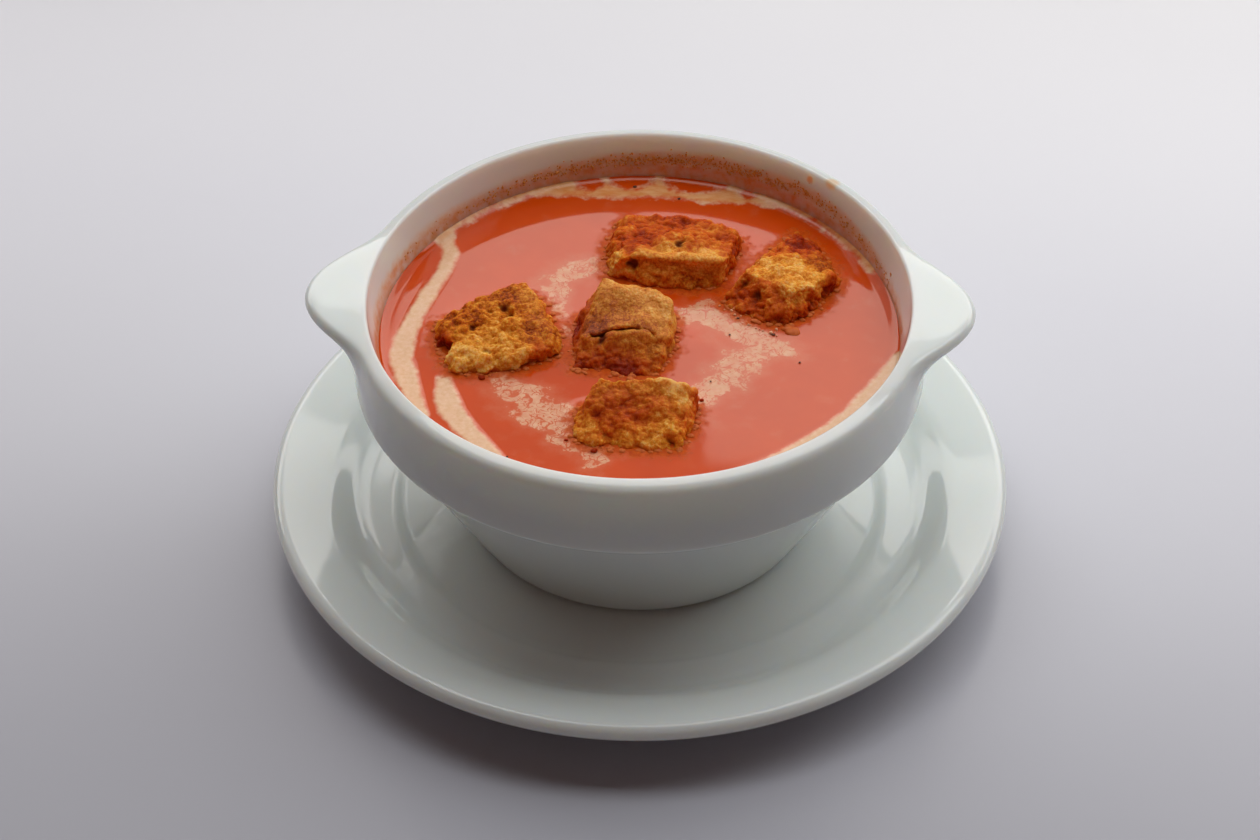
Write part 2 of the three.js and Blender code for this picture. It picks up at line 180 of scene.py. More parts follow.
# Grains: dried specks along the speck line, pepper, crumbs and drops as (x, y, size), crumbs that came off
# along the waterline of each cube, and bubbles round places (x, y). A drawn spread is (mean, deviation).
GRAIN_SEED = 17
SPECK_COUNT = 760
SPECK_TURNS = (0.22, 0.085)
SPECK_ENDS = (0.05, 0.44)
SPECK_SPREAD = (0, 0.8)
SPECK_SIZES = (0.1, 0.28)
SPECK_WIDTHS = (0.6, 1.6)
SPECK_HEIGHT = 0.12
SPECK_LUMPS = 0.5
PEPPER = [
    (-3.7, 54.8, 0.42), (6.9, 50.6, 0.36), (30.1, 1.3, 0.4), (22, 6.8, 0.34), (20.3, 0.9, 0.28),
    (36.1, -8.1, 0.26), (16.6, -15.5, 0.22), (-26.4, -42.5, 0.22),
]
CRUMBS = [
    (-34, -16.7, 0.8), (-7.8, -39.9, 0.8), (-14, -36.6, 0.4), (13, -31, 0.4),
    (-39, -15.2, 0.4), (14.8, -22, 0.5),
]
CRUMB_LOOK = {"tone": 0.9, "soak": 0.8, "crust": 0.0, "hole_shade": 0.0}
DROPS = [(34.4, 2.6, 1.7), (33.2, 3.6, 1.2)]
SOAKED_CRUMBS = 90
SOAKED_SIZES = (0.35, 1.0)
SOAKED_SPREAD = (-0.25, 0.45)
BUBBLES = [
    (18.9, 10.7), (19.9, 9.4), (21.7, 7.2), (23.6, 6.1), (25.7, 4.4), (27.7, 3.1), (29.6, 2.5), (30.8, 0.9),
]
BUBBLES_EACH = 3
BUBBLE_SPREADS = [(0, 0.8), (0, 0.6)]
BUBBLE_SIZES = (0.12, 0.3)

# How grains lie on the soup, as (middle over the cream, (length, width, height), lump size): the first two in
# shares of the grain's size. A grain's look is (dark, light, roughness).
GRAIN_SUBDIVISIONS = 2
GRAIN_UNEVENNESS = 1.2
GRAIN_MOTTLE = (0.6, 3.0)
GRAIN_STOPS = (0.3, 0.7)
GRAIN_GLOSS = (0.3, 2.0)
GRAIN_GLOSS_SPAN = 0.2
GRAINS_LIE = {
    "pepper_specks": (0.2, (1, 0.8, 0.6), 0.4),
    "loose_crumbs": (0.1, (1, 0.7, 0.6), 0.8),
    "soaked_crumbs": (0.0, (1, 0.8, 0.5), 0.7),
    "soup_drops": (-0.1, (1, 0.9, 0.45), 1.5),
    "cream_bubbles": (0.0, (1, 1, 0.8), 1.0),
}
GRAIN_LOOKS = {
    "dried_soup": ((0.55, 0.21, 0.03), (0.74, 0.38, 0.08), 0.4),
    "ground_pepper": ((0.05, 0.012, 0.004), (0.16, 0.05, 0.012), 0.5),
    "soaked_crumb": ((0.5, 0.07, 0.003), (0.68, 0.17, 0.012), 0.6),
    "soup_drop": ((0.58, 0.09, 0.002), (0.67, 0.14, 0.005), 0.55),
    "cream_foam": ((0.80, 0.34, 0.16), (0.86, 0.48, 0.28), 0.3),
}

# Soup: a meniscus or swell is (height, reach); its underside follows the bowl's inside with a small gap
SOUP_Z = 55.3
SOUP_RADIUS = 58.75
SOUP_GRID = 296
SOUP_UNDER_GAP = 0.1
SOUP_UNDER_INSET = 0.5
SOUP_UNDER_STEP = 40.0
SOUP_FIELD_REACH = 5.0
SOUP_SEED = 3
WALL_MENISCUS = (1.2, 1.0)
BREAD_MENISCUS = (0.25, 1.8)
SOUP_SWELL = (0.012, 16.0)
WATERLINE_RISE = 0.2
WATERLINE_HALF = 0.3

# Cream: a stroke is its points and its widths there, an island (x, y, half length, half width) stays bare
CREAM_RISE = 0.15
CREAM_SLOPE = 1.6
FAR_RING = {"outer": 58.9, "span": (26, 146, 27), "middle": 88.5, "reach": 24.0, "width": 6.4, "ends": 1.3}
ISLANDS = [(-14.6, 56.4, 4.2, 3.4), (-5, 58.0, 6.4, 4.2), (9.8, 57.0, 7.8, 4.4), (22.6, 53.0, 2.6, 1.8)]
CREAM_RIBBONS = [
    (
        [(-46.3, 33.4), (-45.3, 24.4), (-50.3, 7), (-52.8, -8.3), (-51.2, -15.6), (-46.3, -29.8)],
        [3.4, 3.6, 4, 5.2, 5, 3.2],
    ),
    ([(-42.4, -17.6), (-40.9, -24.9), (-37.5, -31.8), (-27.2, -44.9)], [3.2, 5.6, 5.2, 3]),
    ([(57.9, -5.4), (51.1, -19.8), (43, -31.3), (24.5, -46.4), (7.9, -52.9)], [2.4, 5, 5, 4.2, 2]),
]
CREAM_PATCHES = [
    ([(-6.5, 26), (-15.9, 21.9), (-20, 14.9), (-18.2, 6.3), (-15.7, -1.7)], [5.5, 7, 6, 4.5, 3.5]),
    ([(8.5, 6.3), (14.5, 7.8), (24, 1.3), (35.2, -5.3)], [7, 9, 9, 4]),
    ([(25.9, -1.5), (22.5, -10.1), (16.9, -17.3), (13.6, -24.8)], [8, 9, 9, 6]),
    ([(-30.6, -16.7), (-25.5, -22), (-14.5, -32), (-7.5, -42)], [6.5, 9.5, 10.5, 7]),
]

# Look of the soup: ribbons of cream with torn edges, more so at the far ring, lace broken by veins, and the
# red hem round the bread, darker: partly the bread's soaked fringe, partly painted shade at the waterline.
# A vein is (size, width, strength).
FAR_EDGE = (-3.0, -1.0)
RIBBON_TEAR = (2.0, 4.0, -1.0, 1.0)
RIBBON_TEAR_REACH = (0.45, 1.65)
RIBBON_SWAY = (5.0, 3.0, -1.0, 1.0)
RIBBON_SWAY_REACH = (0.9, 2.7)
RIBBON_START = (-0.6, -1.4)
RIBBON_FULL = 0.8
LACE_TEAR = (5.6, 4.0, -8.1, 6.9)
LACE_EDGE = (-0.6, 0.8)
LACE_COVER = (2.6, 4.0, 0.16, 1.16)
LACE_MOST = 0.78
HAZE_EDGE = (-5.0, 2.0)
HAZE_COVER = 0.16
VEINS = [(3.4, 0.05, 1.0), (1.9, 0.045, 0.9)]
VEIN_DETAIL = 1.5
VEIN_ROUGHNESS = 0.6
VEIN_DISTORTION = 0.8
VEIN_BREAK_SIZE = 1.3
VEIN_BREAK_DETAIL = 2.0
VEIN_BREAK_EDGE = (0.40, 0.52)
HEM_FRAY = (1.8, 4.0, -3.5, 3.5)
HEM_EDGE = (0.8, 3.2)
HEM_COVER = 0.85
HEM_ROUGHNESS = 0.35
TOMATO_CLOUD = (14.0, 3.0)
TOMATO_TINTS = [(0.3, (0.60, 0.057, 0.001)), (0.7, (0.65, 0.065, 0.0015))]
MILK_GRAIN = (1.0, 4.0)
MILK_TINTS = [(0.3, (0.74, 0.43, 0.24)), (0.7, (0.83, 0.54, 0.35))]
TINGED_EDGE = (-1.0, 0.5)
TINGED_STRETCH = (0.35, 1.0, 1.0)
TINGED_GRAIN = (1.3, 4.0)
TINGED_TINTS = [(0.3, (0.70, 0.25, 0.06)), (0.7, (0.79, 0.43, 0.20))]
HEM_GRAIN = (0.9, 3.0)
HEM_SOAK_AND_SHADE_TINTS = [(0.3, (0.45, 0.045, 0.001)), (0.7, (0.64, 0.11, 0.004))]
SOUP_ROUGHNESS = (0.05, 0.21)
SOUP_SHEEN = (0.5, 0.12)
SOUP_BODY = {
    "IOR": 1.44,
    "Specular Tint": (1.0, 0.94, 0.83),
    "Subsurface Weight": 0.2,
    "Subsurface Radius": (1.0, 0.3, 0.1),
    "Subsurface Scale": 0.002,
}

# Relief of the bread: crumbs as (size, share), crags that halve in size, and a crumbly fringe at the soup
BREAD_VOXEL = 0.21
BREAD_SMOOTHING = 16
RELIEF_SINK = 0.1
RELIEF_RANGE = (-1.6, 1.0)
WARP_SIZE = 1.6
WARP_SEEDS = (60, 70, 80)
CRUMB_SIZES = [(3.2, 0.6), (1.4, 0.45)]
CRUMB_SEED_STEP = 5
CRUMB_HEIGHT = 0.9
CRUMB_WARP = 0.5
CRUMB_CREASE = 0.6
CRUMB_REACH = 0.8
CRUST_SMOOTHNESS = 0.8
CRAG_SIZE = 4.0
CRAG_HEIGHT = 0.7
CRAG_STEPS = 3
CRAG_FADE = 0.6
CRAG_SEED_STEP = 10
CRAG_ON_CRUST = 0.35
FRINGE_SIZE = 2.8
FRINGE_HEIGHT = 0.8
FRINGE_RISE = 0.8
FRINGE_REACH = 2.6
FRINGE_CREASE = 0.4
FRINGE_SEED = 30
HOLE_WARP = 0.8
SOAK_RISE = (-0.3, 1.4)
SOAK_WAVER = 0.7
SOAK_WAVER_SIZE = 3.0
SOAK_SEED = 40
# Painted shade and light: the tone darkens in the creases between crumbs and low in the crags, and pales on
# their crowns
DOME_SHADE = 0.35
DOME_SOAK = 0.25
CRAG_SHADE = 0.12
TONE_RANGE = (-0.2, 1)
PLAIN_WEIGHT = 0.12
ARCH_WAY = (0, 0.5, 0.85)

# Look of the bread: tints along the tone of dry crumb and along the depth of the broth in it
TOAST_GRAIN = (0.55, 2.0)
TOAST_GRAIN_TONE = 0.6
TOAST_MOTTLE = (2.4, 3.0)
TOAST_MOTTLE_TONE = 0.45
TOAST_WETNESS = 0.25
TOAST_TINTS = [
    (0.0, (0.85, 0.48, 0.14)), (0.25, (0.79, 0.33, 0.04)), (0.5, (0.66, 0.20, 0.010)),
    (0.75, (0.47, 0.09, 0.003)), (1.0, (0.2, 0.027, 0.001)),
]
BROTH_EDGE = (0.1, 0.7)
BROTH_TINTS = [
    (0.0, (0.74, 0.27, 0.024)), (0.4, (0.66, 0.15, 0.010)), (0.7, (0.54, 0.076, 0.003)),
    (1.0, (0.27, 0.018, 0.001)),
]
# Painted shade: the bread darkens towards this tint down in its holes
HOLE_SHADE_EDGE = (0.3, 1.1)
HOLE_SHADE_TINT = (0.13, 0.014, 0.001)
TOAST_GLOSS_EDGE = (0.3, 0.9)
TOAST_ROUGHNESS = (0.58, 0.33)
TOAST_SHEEN = (0.07, 0.32)
TOAST_BUMP = (0.35, 2.0)
TOAST_BUMP_STRENGTH = 0.7
TOAST_BUMP_DEPTH = 0.3
TOAST_BODY = {
    "Subsurface Weight": 0.55,
    "Subsurface Radius": (1.0, 0.45, 0.12),
    "Subsurface Scale": 0.003,
}

# The cubes: for each its plain look, the marks on it, the open holes, the ridges and the arch of its split.
# A look is tone, soak, crust: tone runs from pale straw 0 to dark brown 1, soak from dry 0 to red 1, crust
# from open crumb 0 to smooth crust 1. A mark is (x, y, rise above the soup, radius, tone, soak, crust).
# Marks hold the bread's own toasting and soaking and also painted light: faces turned to the viewer, which
# the lamps behind light little, are given paler tones.
# A hole is (x, y, rise, radius, depth). A ridge is (start, end, radius, height), its ends as (x, y, rise).
# An arch is (middle, half length, lift, reach).
BREAD = {
    "crouton_left": {
        "plain": (0.5, 0.0, 0.0),
        "marks": [
            (-35, -7, 4, 5, 0.33, 0, 0), (-37.5, -12.5, 3, 4, 0.11, 0, 0), (-30.5, -7, 4, 3.2, 0.29, 0, 0),
            (-28, -0.5, 5.5, 3, 0.52, 0, 0), (-41, -1.5, 4.5, 4, 0.72, 0, 0),
            (-37.5, -2.5, 5, 2.4, 0.85, 0, 0), (-35.5, 3, 5, 3, 0.61, 0, 0.1),
            (-28.5, 6, 6, 3, 0.76, 0, 0.2), (-24.5, 6.5, 5.5, 2.6, 0.35, 0, 0.6),
            (-21.5, -2, 4.5, 3, 0.61, 0, 0.5), (-22.5, -5.5, 4, 3, 0.82, 0, 0.2),
            (-37, -14.5, 1.5, 3, 0.07, 0.1, 0.1), (-27, -12.5, 2.5, 3, 0.27, 0.35, 0.1),
            (-19.5, -9.5, 3.5, 3, 0.43, 0.5, 0.1), (-21.5, -10.5, 1.5, 2.4, 0.39, 0.75, 0),
            (-43, -7, 1, 2.6, 1.37, 1.2, 0),
        ],
        "holes": [
            (-30.5, 2.5, 5.5, 1.2, 1.1), (-29, 0, 5, 1.1, 1), (-37, -3.5, 4.5, 1.3, 1.2),
            (-33, -11, 3.5, 1.2, 0.8), (-24, -4.5, 4, 1, 0.8), (-33.5, 1, 5, 1, 0.8),
        ],
        "ridges": [((-25, 11, 6), (-19, -6, 4), 1.6, 0.5), ((-38, -15, 0.5), (-27, -13, 0.5), 2.4, 1.4)],
    },
    "crouton_back": {
        "plain": (0.5, 0.6, 0.0),
        "marks": [
            (-2.5, 36, 4.5, 4, 0.4, 0.5, 0), (2, 32.5, 5, 5, 0.42, 0.8, 0), (7, 35.5, 4.5, 4, 0.44, 0.8, 0),
            (11.5, 31, 5.5, 5, 0.5, 0.6, 0), (18, 31, 4.5, 4, 0.42, 0.55, 0), (21.5, 29, 3, 2.4, 0.7, 1, 0),
            (-1.5, 25, 6, 3, 0.45, 0.8, 0), (7, 24.5, 6.5, 3.5, 0.3, 0.35, 0),
            (2.5, 21.5, 6.5, 3, 0.33, 0.02, 0.8), (8.5, 21, 7, 3, 0.26, 0, 0.8),
            (14.5, 20.5, 7, 3.4, 0.18, 0, 0.8), (5, 19, 6, 2.6, 0.42, 0, 0.8),
            (13, 18.5, 6, 2.6, 0.2, 0, 0.8), (2, 18.5, 3, 3.4, 0.48, 0, 0.3),
            (9.5, 18, 3, 3.6, 0.56, 0, 0.3), (15, 18.5, 3.5, 3, 0.42, 0.02, 0.3),
            (-6.5, 20, 4, 3, 0.18, 0.15, 0), (18.5, 20.5, 3, 3.4, 0.4, 0.65, 0),
        ],
        "holes": [
            (8, 26, 6.5, 1.4, 1.3), (-2.5, 19.5, 4.5, 1.5, 1.4), (3.5, 18, 2.5, 0.9, 0.7),
            (13, 18, 2, 0.9, 0.6),
        ],
        "ridges": [
            ((0, 20.6, 6.8), (17, 19.8, 7), 1.5, 0.6), ((1, 23.6, 6.6), (14, 23.4, 6.8), 1.1, -0.5),
            ((3, 38.6, 4), (17, 35.4, 4), 1.6, 0.6), ((0, 17, 0.5), (17, 17, 0.5), 2.4, 1.6),
            ((14, 36, 4), (20, 32, 4), 2.5, 1.3),
        ],
    },
    "crouton_right": {
        "plain": (0.5, 0.6, 0.0),
        "marks": [
            (35, 18, 5.5, 5, 0.17, 0, 0.1), (28.5, 18, 6, 3.6, 0.2, 0.02, 0.1),
            (37.5, 15, 5.5, 3, 0.3, 0.05, 0.1), (41, 22.5, 4, 3, 1, 0.15, 0.1),
            (30, 28, 4, 4, 0.48, 0.58, 0), (36.5, 30, 3, 3.6, 0.95, 0.9, 0),
            (22.5, 16, 4.5, 3.4, 0.45, 0.55, 0), (25, 11.5, 3.5, 4, 0.5, 0.8, 0),
            (30, 11, 5.5, 3.4, 0.22, 0.4, 0), (23.5, 9, 1.5, 3.4, 0.36, 0.6, 0),
            (30.5, 7.5, 3, 3.6, 0.5, 0.7, 0), (31.5, 5, 1, 3, 0.55, 0.8, 0), (35, 9.5, 5, 3, 0.08, 0.2, 0),
            (38.5, 11.5, 4, 3, 0.28, 0.4, 0), (39.5, 11, 2.5, 2.4, 0.55, 1, 0),
            (36, 7.5, 1.5, 2.4, 0.6, 1, 0), (43.5, 16, 2.5, 2.4, 0.8, 1, 0),
        ],
        "holes": [(23, 15, 4, 1.2, 1.1), (26, 11.5, 3.5, 1.3, 1), (39, 10.5, 2, 1.1, 0.9)],
        "ridges": [],
    },
    "crouton_centre": {
        "plain": (0.6, 0.3, 0.5),
        "marks": [
            (-4.5, 5.5, 10.5, 4, 0.26, 0, 1), (-7.5, 1, 9, 4, 0.42, 0, 1), (-1.5, 0.5, 8.5, 5, 0.34, 0, 1),
            (5, 0, 8, 4, 0.16, 0, 1), (-3, -3.5, 6.5, 4, 0.72, 0, 1), (2.5, -4.5, 7, 3.4, 0.74, 0, 1),
            (-9, -4, 6, 3, 0.95, 0, 0.9), (-3, -7, 5, 2.6, 0.1, 0.02, 0.9),
            (-0.5, -8, 4.5, 2.6, 0.36, 0.12, 0.7), (3.5, -8, 4.5, 3, 0.44, 0.02, 0.8),
            (-10.5, -9, 3.5, 3, 0.48, 0.35, 0.3), (-6, -10, 3, 3.4, 0.75, 0.42, 0.3),
            (-1.5, -11, 2.5, 3.4, 0.95, 0.7, 0.2), (-10.5, -11.5, 1.5, 3.4, 0.85, 0.95, 0.1),
            (-3, -13.5, 0.5, 3, 1.2, 1, 0.1), (2.5, -12.5, 2, 3, 0.66, 0.3, 0.2),
            (-12.5, 2.5, 4.5, 2.6, 0.7, 0.75, 0.3), (-14.5, -1, 1, 3, 0.7, 1, 0.1),
        ],
        "holes": [(-8, -7, 5, 1.5, 1.2), (-13, 5, 4, 0.9, 0.8)],
        "ridges": [
            ((-5.5, -7.6, 5), (0, -7.8, 5), 1.8, 0.7), ((1.4, -6.2, 5.6), (7, -6, 5), 1.7, 1.3),
            ((-13, -6.6, 5.4), (-7.6, -6.6, 5.6), 1.5, 1.3), ((-6, -6.4, 5.6), (2, -6.4, 5.6), 1.2, 0.5),
        ],
        "arch": ((-2.4, -6.4, 5.6), 6.6, 0.9, 4.0),
    },
    "crouton_front": {
        "plain": (0.55, 0.4, 0.0),
        "marks": [
            (1.5, -25.5, 7.5, 3, 0.34, 0, 0.5), (-5, -25.5, 8.5, 3, 0.4, 0, 0.5),
            (8.5, -26, 7, 3.4, -0.1, 0, 0.4), (11.5, -27, 6, 2.6, 0.1, 0.02, 0.4),
            (-7, -28.5, 6.5, 3, 0.66, 0.4, 0.2), (-1.5, -28.5, 6, 3.4, 0.62, 0.42, 0.2),
            (5, -28.5, 6.5, 3.2, 0.56, 0.6, 0.1), (-5, -30.5, 5, 3.6, 0.85, 0.65, 0.1),
            (1.5, -30.5, 5, 3.6, 0.7, 0.8, 0.1), (9, -31, 5, 3, 0.36, 0.65, 0),
            (13.5, -26, 4, 2.2, 0.5, 1, 0), (-3.5, -34, 3.5, 3.4, 0.72, 0.62, 0),
            (2.5, -33, 3.5, 3.4, 0.28, 0.45, 0), (8, -34, 3.5, 3, 0.3, 0.3, 0),
            (6.5, -36.5, 2.5, 3.4, 0.4, 0.3, 0), (-10, -36.5, 2, 3, 0.3, 0.34, 0),
            (-2, -38.5, 0.5, 3, 0.15, 0.15, 0), (4.5, -39, 1, 2.6, 0.2, 0.2, 0),
        ],
        "holes": [(9, -38, 1.5, 1.1, 1), (-5.5, -37, 2, 1.1, 0.8), (-8, -34, 3, 0.9, 0.7)],
        "ridges": [((-7, -24.6, 8.6), (11, -24.6, 7.4), 1.3, 0.5)],
    },
}


# Helpers for node trees


class Maker:
    """Adds nodes to a tree; an input is another node's output or a value."""

    def __init__(self, tree):
        self.tree = tree

    def feed(self, socket, value):
        if isinstance(value, bpy.types.NodeSocket):
            self.tree.links.new(value, socket)
        elif socket.type == "RGBA":
            socket.default_value = (*value, 1.0)
        else:
            socket.default_value = value

    def fill(self, node, inputs):
        """Feeds a node's inputs, given by name or number."""
        for key, value in inputs.items():
            self.feed(node.inputs[key], value)
        return node

    def add(self, kind, inputs=(), **settings):
        node = self.tree.nodes.new(kind)
        for name, value in settings.items():
            setattr(node, name, value)
        return self.fill(node, dict(inputs))

    def math(self, operation, *values):
        node = self.add("ShaderNodeMath", operation=operation)
        return self.fill(node, dict(enumerate(values))).outputs[0]

    def plus(self, first, second):
        return self.math("ADD", first, second)

    def minus(self, first, second):
        return self.math("SUBTRACT", first, second)

    def times(self, first, second):
        return self.math("MULTIPLY", first, second)

    def over(self, first, second):
        return self.math("DIVIDE", first, second)

    def lower(self, first, second):
        return self.math("MINIMUM", first, second)

    def higher(self, first, second):
        return self.math("MAXIMUM", first, second)

    def between(self, share, low, high):
        """low where the share is 0, high where it is 1."""
        return self.math("MULTIPLY_ADD", share, high - low, low)

    def around(self, share, reach):
        """The share carried from 0 to 1 over to -reach to reach."""
        return self.between(share, -reach, reach)

    def step(self, value, low, high):
        """0 below low, 1 above high, smooth between."""
        inputs = {"Value": value, "From Min": low, "From Max": high}
        return self.add("ShaderNodeMapRange", inputs, interpolation_type="SMOOTHSTEP").outputs[0]

    def fade(self, value, low, high):
        """1 below low, 0 above high, smooth between."""
        return self.minus(1.0, self.step(value, low, high))

    def mix(self, factor, first, second):
        return self.add("ShaderNodeMix", {0: factor, 6: first, 7: second}, data_type="RGBA").outputs[2]

    def ramp(self, value, tints):
        """Colours along a value."""
        node = self.add("ShaderNodeValToRGB", {"Fac": value})
        elements = node.color_ramp.elements
        while len(elements) < len(tints):
            elements.new(1.0)
        for element, (place, tint) in zip(elements, tints):
            element.position = place
            element.color = (*tint, 1.0)
        return node.outputs[0]

    def noise(self, where, size, detail, low=0, high=1, roughness=0.55, distortion=0.0):
        """Noise from low to high with bumps of a size in millimetres."""
        inputs = {"Vector": where, "Scale": 1 / (size * MM), "Detail": detail, "Roughness": roughness}
        field = self.add("ShaderNodeTexNoise", {**inputs, "Distortion": distortion}).outputs[0]
        return field if (low, high) == (0, 1) else self.between(field, low, high)

    def attribute(self, name):
        return self.add("ShaderNodeAttribute", attribute_name=name).outputs["Fac"]

    def vector_attribute(self, name):
        kind = "GeometryNodeInputNamedAttribute"
        return self.add(kind, {"Name": name}, data_type="FLOAT_VECTOR").outputs["Attribute"]


def new_material(name):
    material = bpy.data.materials.new(name)
    material.use_nodes = True
    maker = Maker(material.node_tree)
    shader = material.node_tree.nodes["Principled BSDF"]
    where = maker.add("ShaderNodeTexCoord").outputs["Object"]
    return material, maker, shader, where


def new_piece(name, mesh, material, replaces=()):
    """A finished piece at the origin that moves with the part."""
    piece = bpy.data.objects.new(name, mesh)
    bpy.context.scene.collection.objects.link(piece)
    mesh.materials.clear()
    mesh.materials.append(material)
    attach(piece, "root")
    if replaces:
        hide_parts(*replaces)
    return piece


def smooth_shaded(mesh):
    mesh.polygons.foreach_set("use_smooth", np.ones(len(mesh.polygons), bool))


def set_attribute(mesh, name, values):
    attribute = mesh.attributes.new(name, "FLOAT", "POINT")
    attribute.data.foreach_set("value", np.asarray(values, np.float32))


def set_vector_attribute(mesh, name, values):
    attribute = mesh.attributes.new(name, "FLOAT_VECTOR", "POINT")
    attribute.data.foreach_set("vector", np.asarray(values, float).ravel())


def evaluated_mesh(mesh, prepare):
    """Gives a mesh to a passing object, lets prepare add modifiers, and returns the plain result."""
    carrier = bpy.data.objects.new("carrier", mesh)
    bpy.context.scene.collection.objects.link(carrier)
    prepare(carrier)
    graph = bpy.context.evaluated_depsgraph_get()
    result = bpy.data.meshes.new_from_object(carrier.evaluated_get(graph))
    carrier.modifiers.clear()
    bpy.data.objects.remove(carrier)
    return result


def geometry_tree(name, inputs):
    """A geometry node tree with the named inputs, given as (kind, default), after its Geometry input."""
    tree = bpy.data.node_groups.new(name, "GeometryNodeTree")
    tree.interface.new_socket("Geometry", in_out="INPUT", socket_type="NodeSocketGeometry")
    tree.interface.new_socket("Geometry", in_out="OUTPUT", socket_type="NodeSocketGeometry")
    for label, (kind, default) in inputs.items():
        socket = tree.interface.new_socket(label, in_out="INPUT", socket_type=kind)
        if default is not None:
            socket.default_value = default
    maker = Maker(tree)
    return tree, maker, maker.add("NodeGroupInput").outputs, maker.add("NodeGroupOutput")


def waved(maker, surface, size, height):
    """The surface pushed in and out along its normals by a noise with bumps of a size."""
    bumps = maker.add("ShaderNodeTexNoise", {"Scale": maker.over(1.0, size), "Detail": 1.0}).outputs[0]
    push = maker.times(maker.minus(bumps, NOISE_MIDDLE), height)
    normal = maker.add("GeometryNodeInputNormal").outputs[0]
    along = maker.add("ShaderNodeVectorMath", {0: normal, "Scale": push}, operation="SCALE").outputs[0]
    return maker.add("GeometryNodeSetPosition", {"Geometry": surface, "Offset": along}).outputs[0]


def end_tree(maker, surface, material, output):
    """Shades the surface smooth, realizes it and gives it its material."""
    shaded = maker.add("GeometryNodeSetShadeSmooth", {"Geometry": surface}).outputs[0]
    real = maker.add("GeometryNodeRealizeInstances", {"Geometry": shaded}).outputs[0]
    dressed = maker.add("GeometryNodeSetMaterial", {"Geometry": real, "Material": material}).outputs[0]
    maker.feed(output.inputs[0], dressed)


def run_tree(tree, mesh, values):
    """The tree's result on a mesh, with its inputs set by their labels."""
    identifiers = {item.name: item.identifier for item in tree.interface.items_tree if item.in_out == "INPUT"}

    def prepare(carrier):
        modifier = carrier.modifiers.new("shape", "NODES")
        modifier.node_group = tree
        for label, value in values.items():
            modifier[identifiers[label]] = value

    return evaluated_mesh(mesh, prepare)


# Camera, floor and light


def make_camera():
    azimuth, elevation, roll = (math.radians(a) for a in (CAMERA_AZIMUTH, CAMERA_ELEVATION, CAMERA_ROLL))
    back = Vector((
        math.sin(azimuth) * math.cos(elevation),
        -math.cos(azimuth) * math.cos(elevation),
        math.sin(elevation),
    ))
    level = Vector((math.cos(azimuth), math.sin(azimuth), 0))
    upright = back.cross(level)
    right = math.cos(roll) * level + math.sin(roll) * upright
    up = math.cos(roll) * upright - math.sin(roll) * level
    data = bpy.data.cameras.new("camera")
    data.sensor_width = SENSOR_WIDTH
    data.sensor_fit = "HORIZONTAL"
    data.lens = FOCAL_PIXELS / IMAGE_WIDTH * SENSOR_WIDTH
    data.clip_start = CAMERA_NEAR * MM
    camera = bpy.data.objects.new("camera", data)
    place = (Vector(CAMERA_TARGET) + CAMERA_DISTANCE * back) * MM
    camera.matrix_world = Matrix.Translation(place) @ Matrix((right, up, back)).transposed().to_4x4()
    bpy.context.scene.collection.objects.link(camera)
    bpy.context.scene.camera = camera


def area_light(name, place, aim, size, power, tint):
    data = bpy.data.lights.new(name, "AREA")
    data.shape = "RECTANGLE"
    data.size, data.size_y = size
    data.energy = power
    data.color = tint
    light = bpy.data.objects.new(name, data)
    light.location = place
    light.rotation_euler = (Vector(aim) - Vector(place)).to_track_quat("-Z", "Y").to_euler()
    bpy.context.scene.collection.objects.link(light)


def make_light():
    forward = Vector((0, -1, 0))
    for name, left, right, sill, top, radiance in PANES:
        place = Vector(((left + right) / 2, PANE_DISTANCE, (top + sill) / 2))
        size = (right - left, top - sill)
        area_light(name, place, place + forward, size, radiance * math.pi * size[0] * size[1], PANE_TINT)
    for lamp in LAMPS:
        area_light(*lamp)
    world = bpy.data.worlds.new("soft_surround")
    world.use_nodes = True
    background = world.node_tree.nodes["Background"]
    Maker(world.node_tree).fill(background, {"Color": WORLD_TINT, "Strength": WORLD_STRENGTH})
    bpy.context.scene.world = world
    bpy.context.scene.view_settings.view_transform = "Standard"


def make_floor():
    material, maker, shader, where = new_material("pale_floor")
    cloud = maker.noise(where, *FLOOR_CLOUD)
    parts = maker.add("ShaderNodeSeparateXYZ", {0: where}).outputs
    # Painted light: the floor grows paler away from the viewer and to the right
    away = maker.math("MULTIPLY_ADD", parts["X"], FLOOR_SLANT, parts["Y"])
    first, last = FLOOR_LIGHT_TINTS[0][0], FLOOR_LIGHT_TINTS[-1][0]
    away = maker.over(maker.minus(away, first), last - first)
    away = maker.plus(away, maker.around(cloud, FLOOR_CLOUD_SHIFT))
    tints = [((place - first) / (last - first), tint) for place, tint in FLOOR_LIGHT_TINTS]
    roughness = maker.between(cloud, *FLOOR_ROUGHNESS)
    maker.fill(shader, {"Base Color": maker.ramp(away, tints), "Roughness": roughness})
    mesh = bpy.data.meshes.new("floor")
    corners = [(x * FLOOR_REACH, y * FLOOR_REACH, 0) for x, y in ((-1, -1), (1, -1), (1, 1), (-1, 1))]
    mesh.from_pydata(corners, [], [(0, 1, 2, 3)])
    mesh.materials.append(material)
    floor = bpy.data.objects.new("floor", mesh)
    bpy.context.scene.collection.objects.link(floor)


# Porcelain


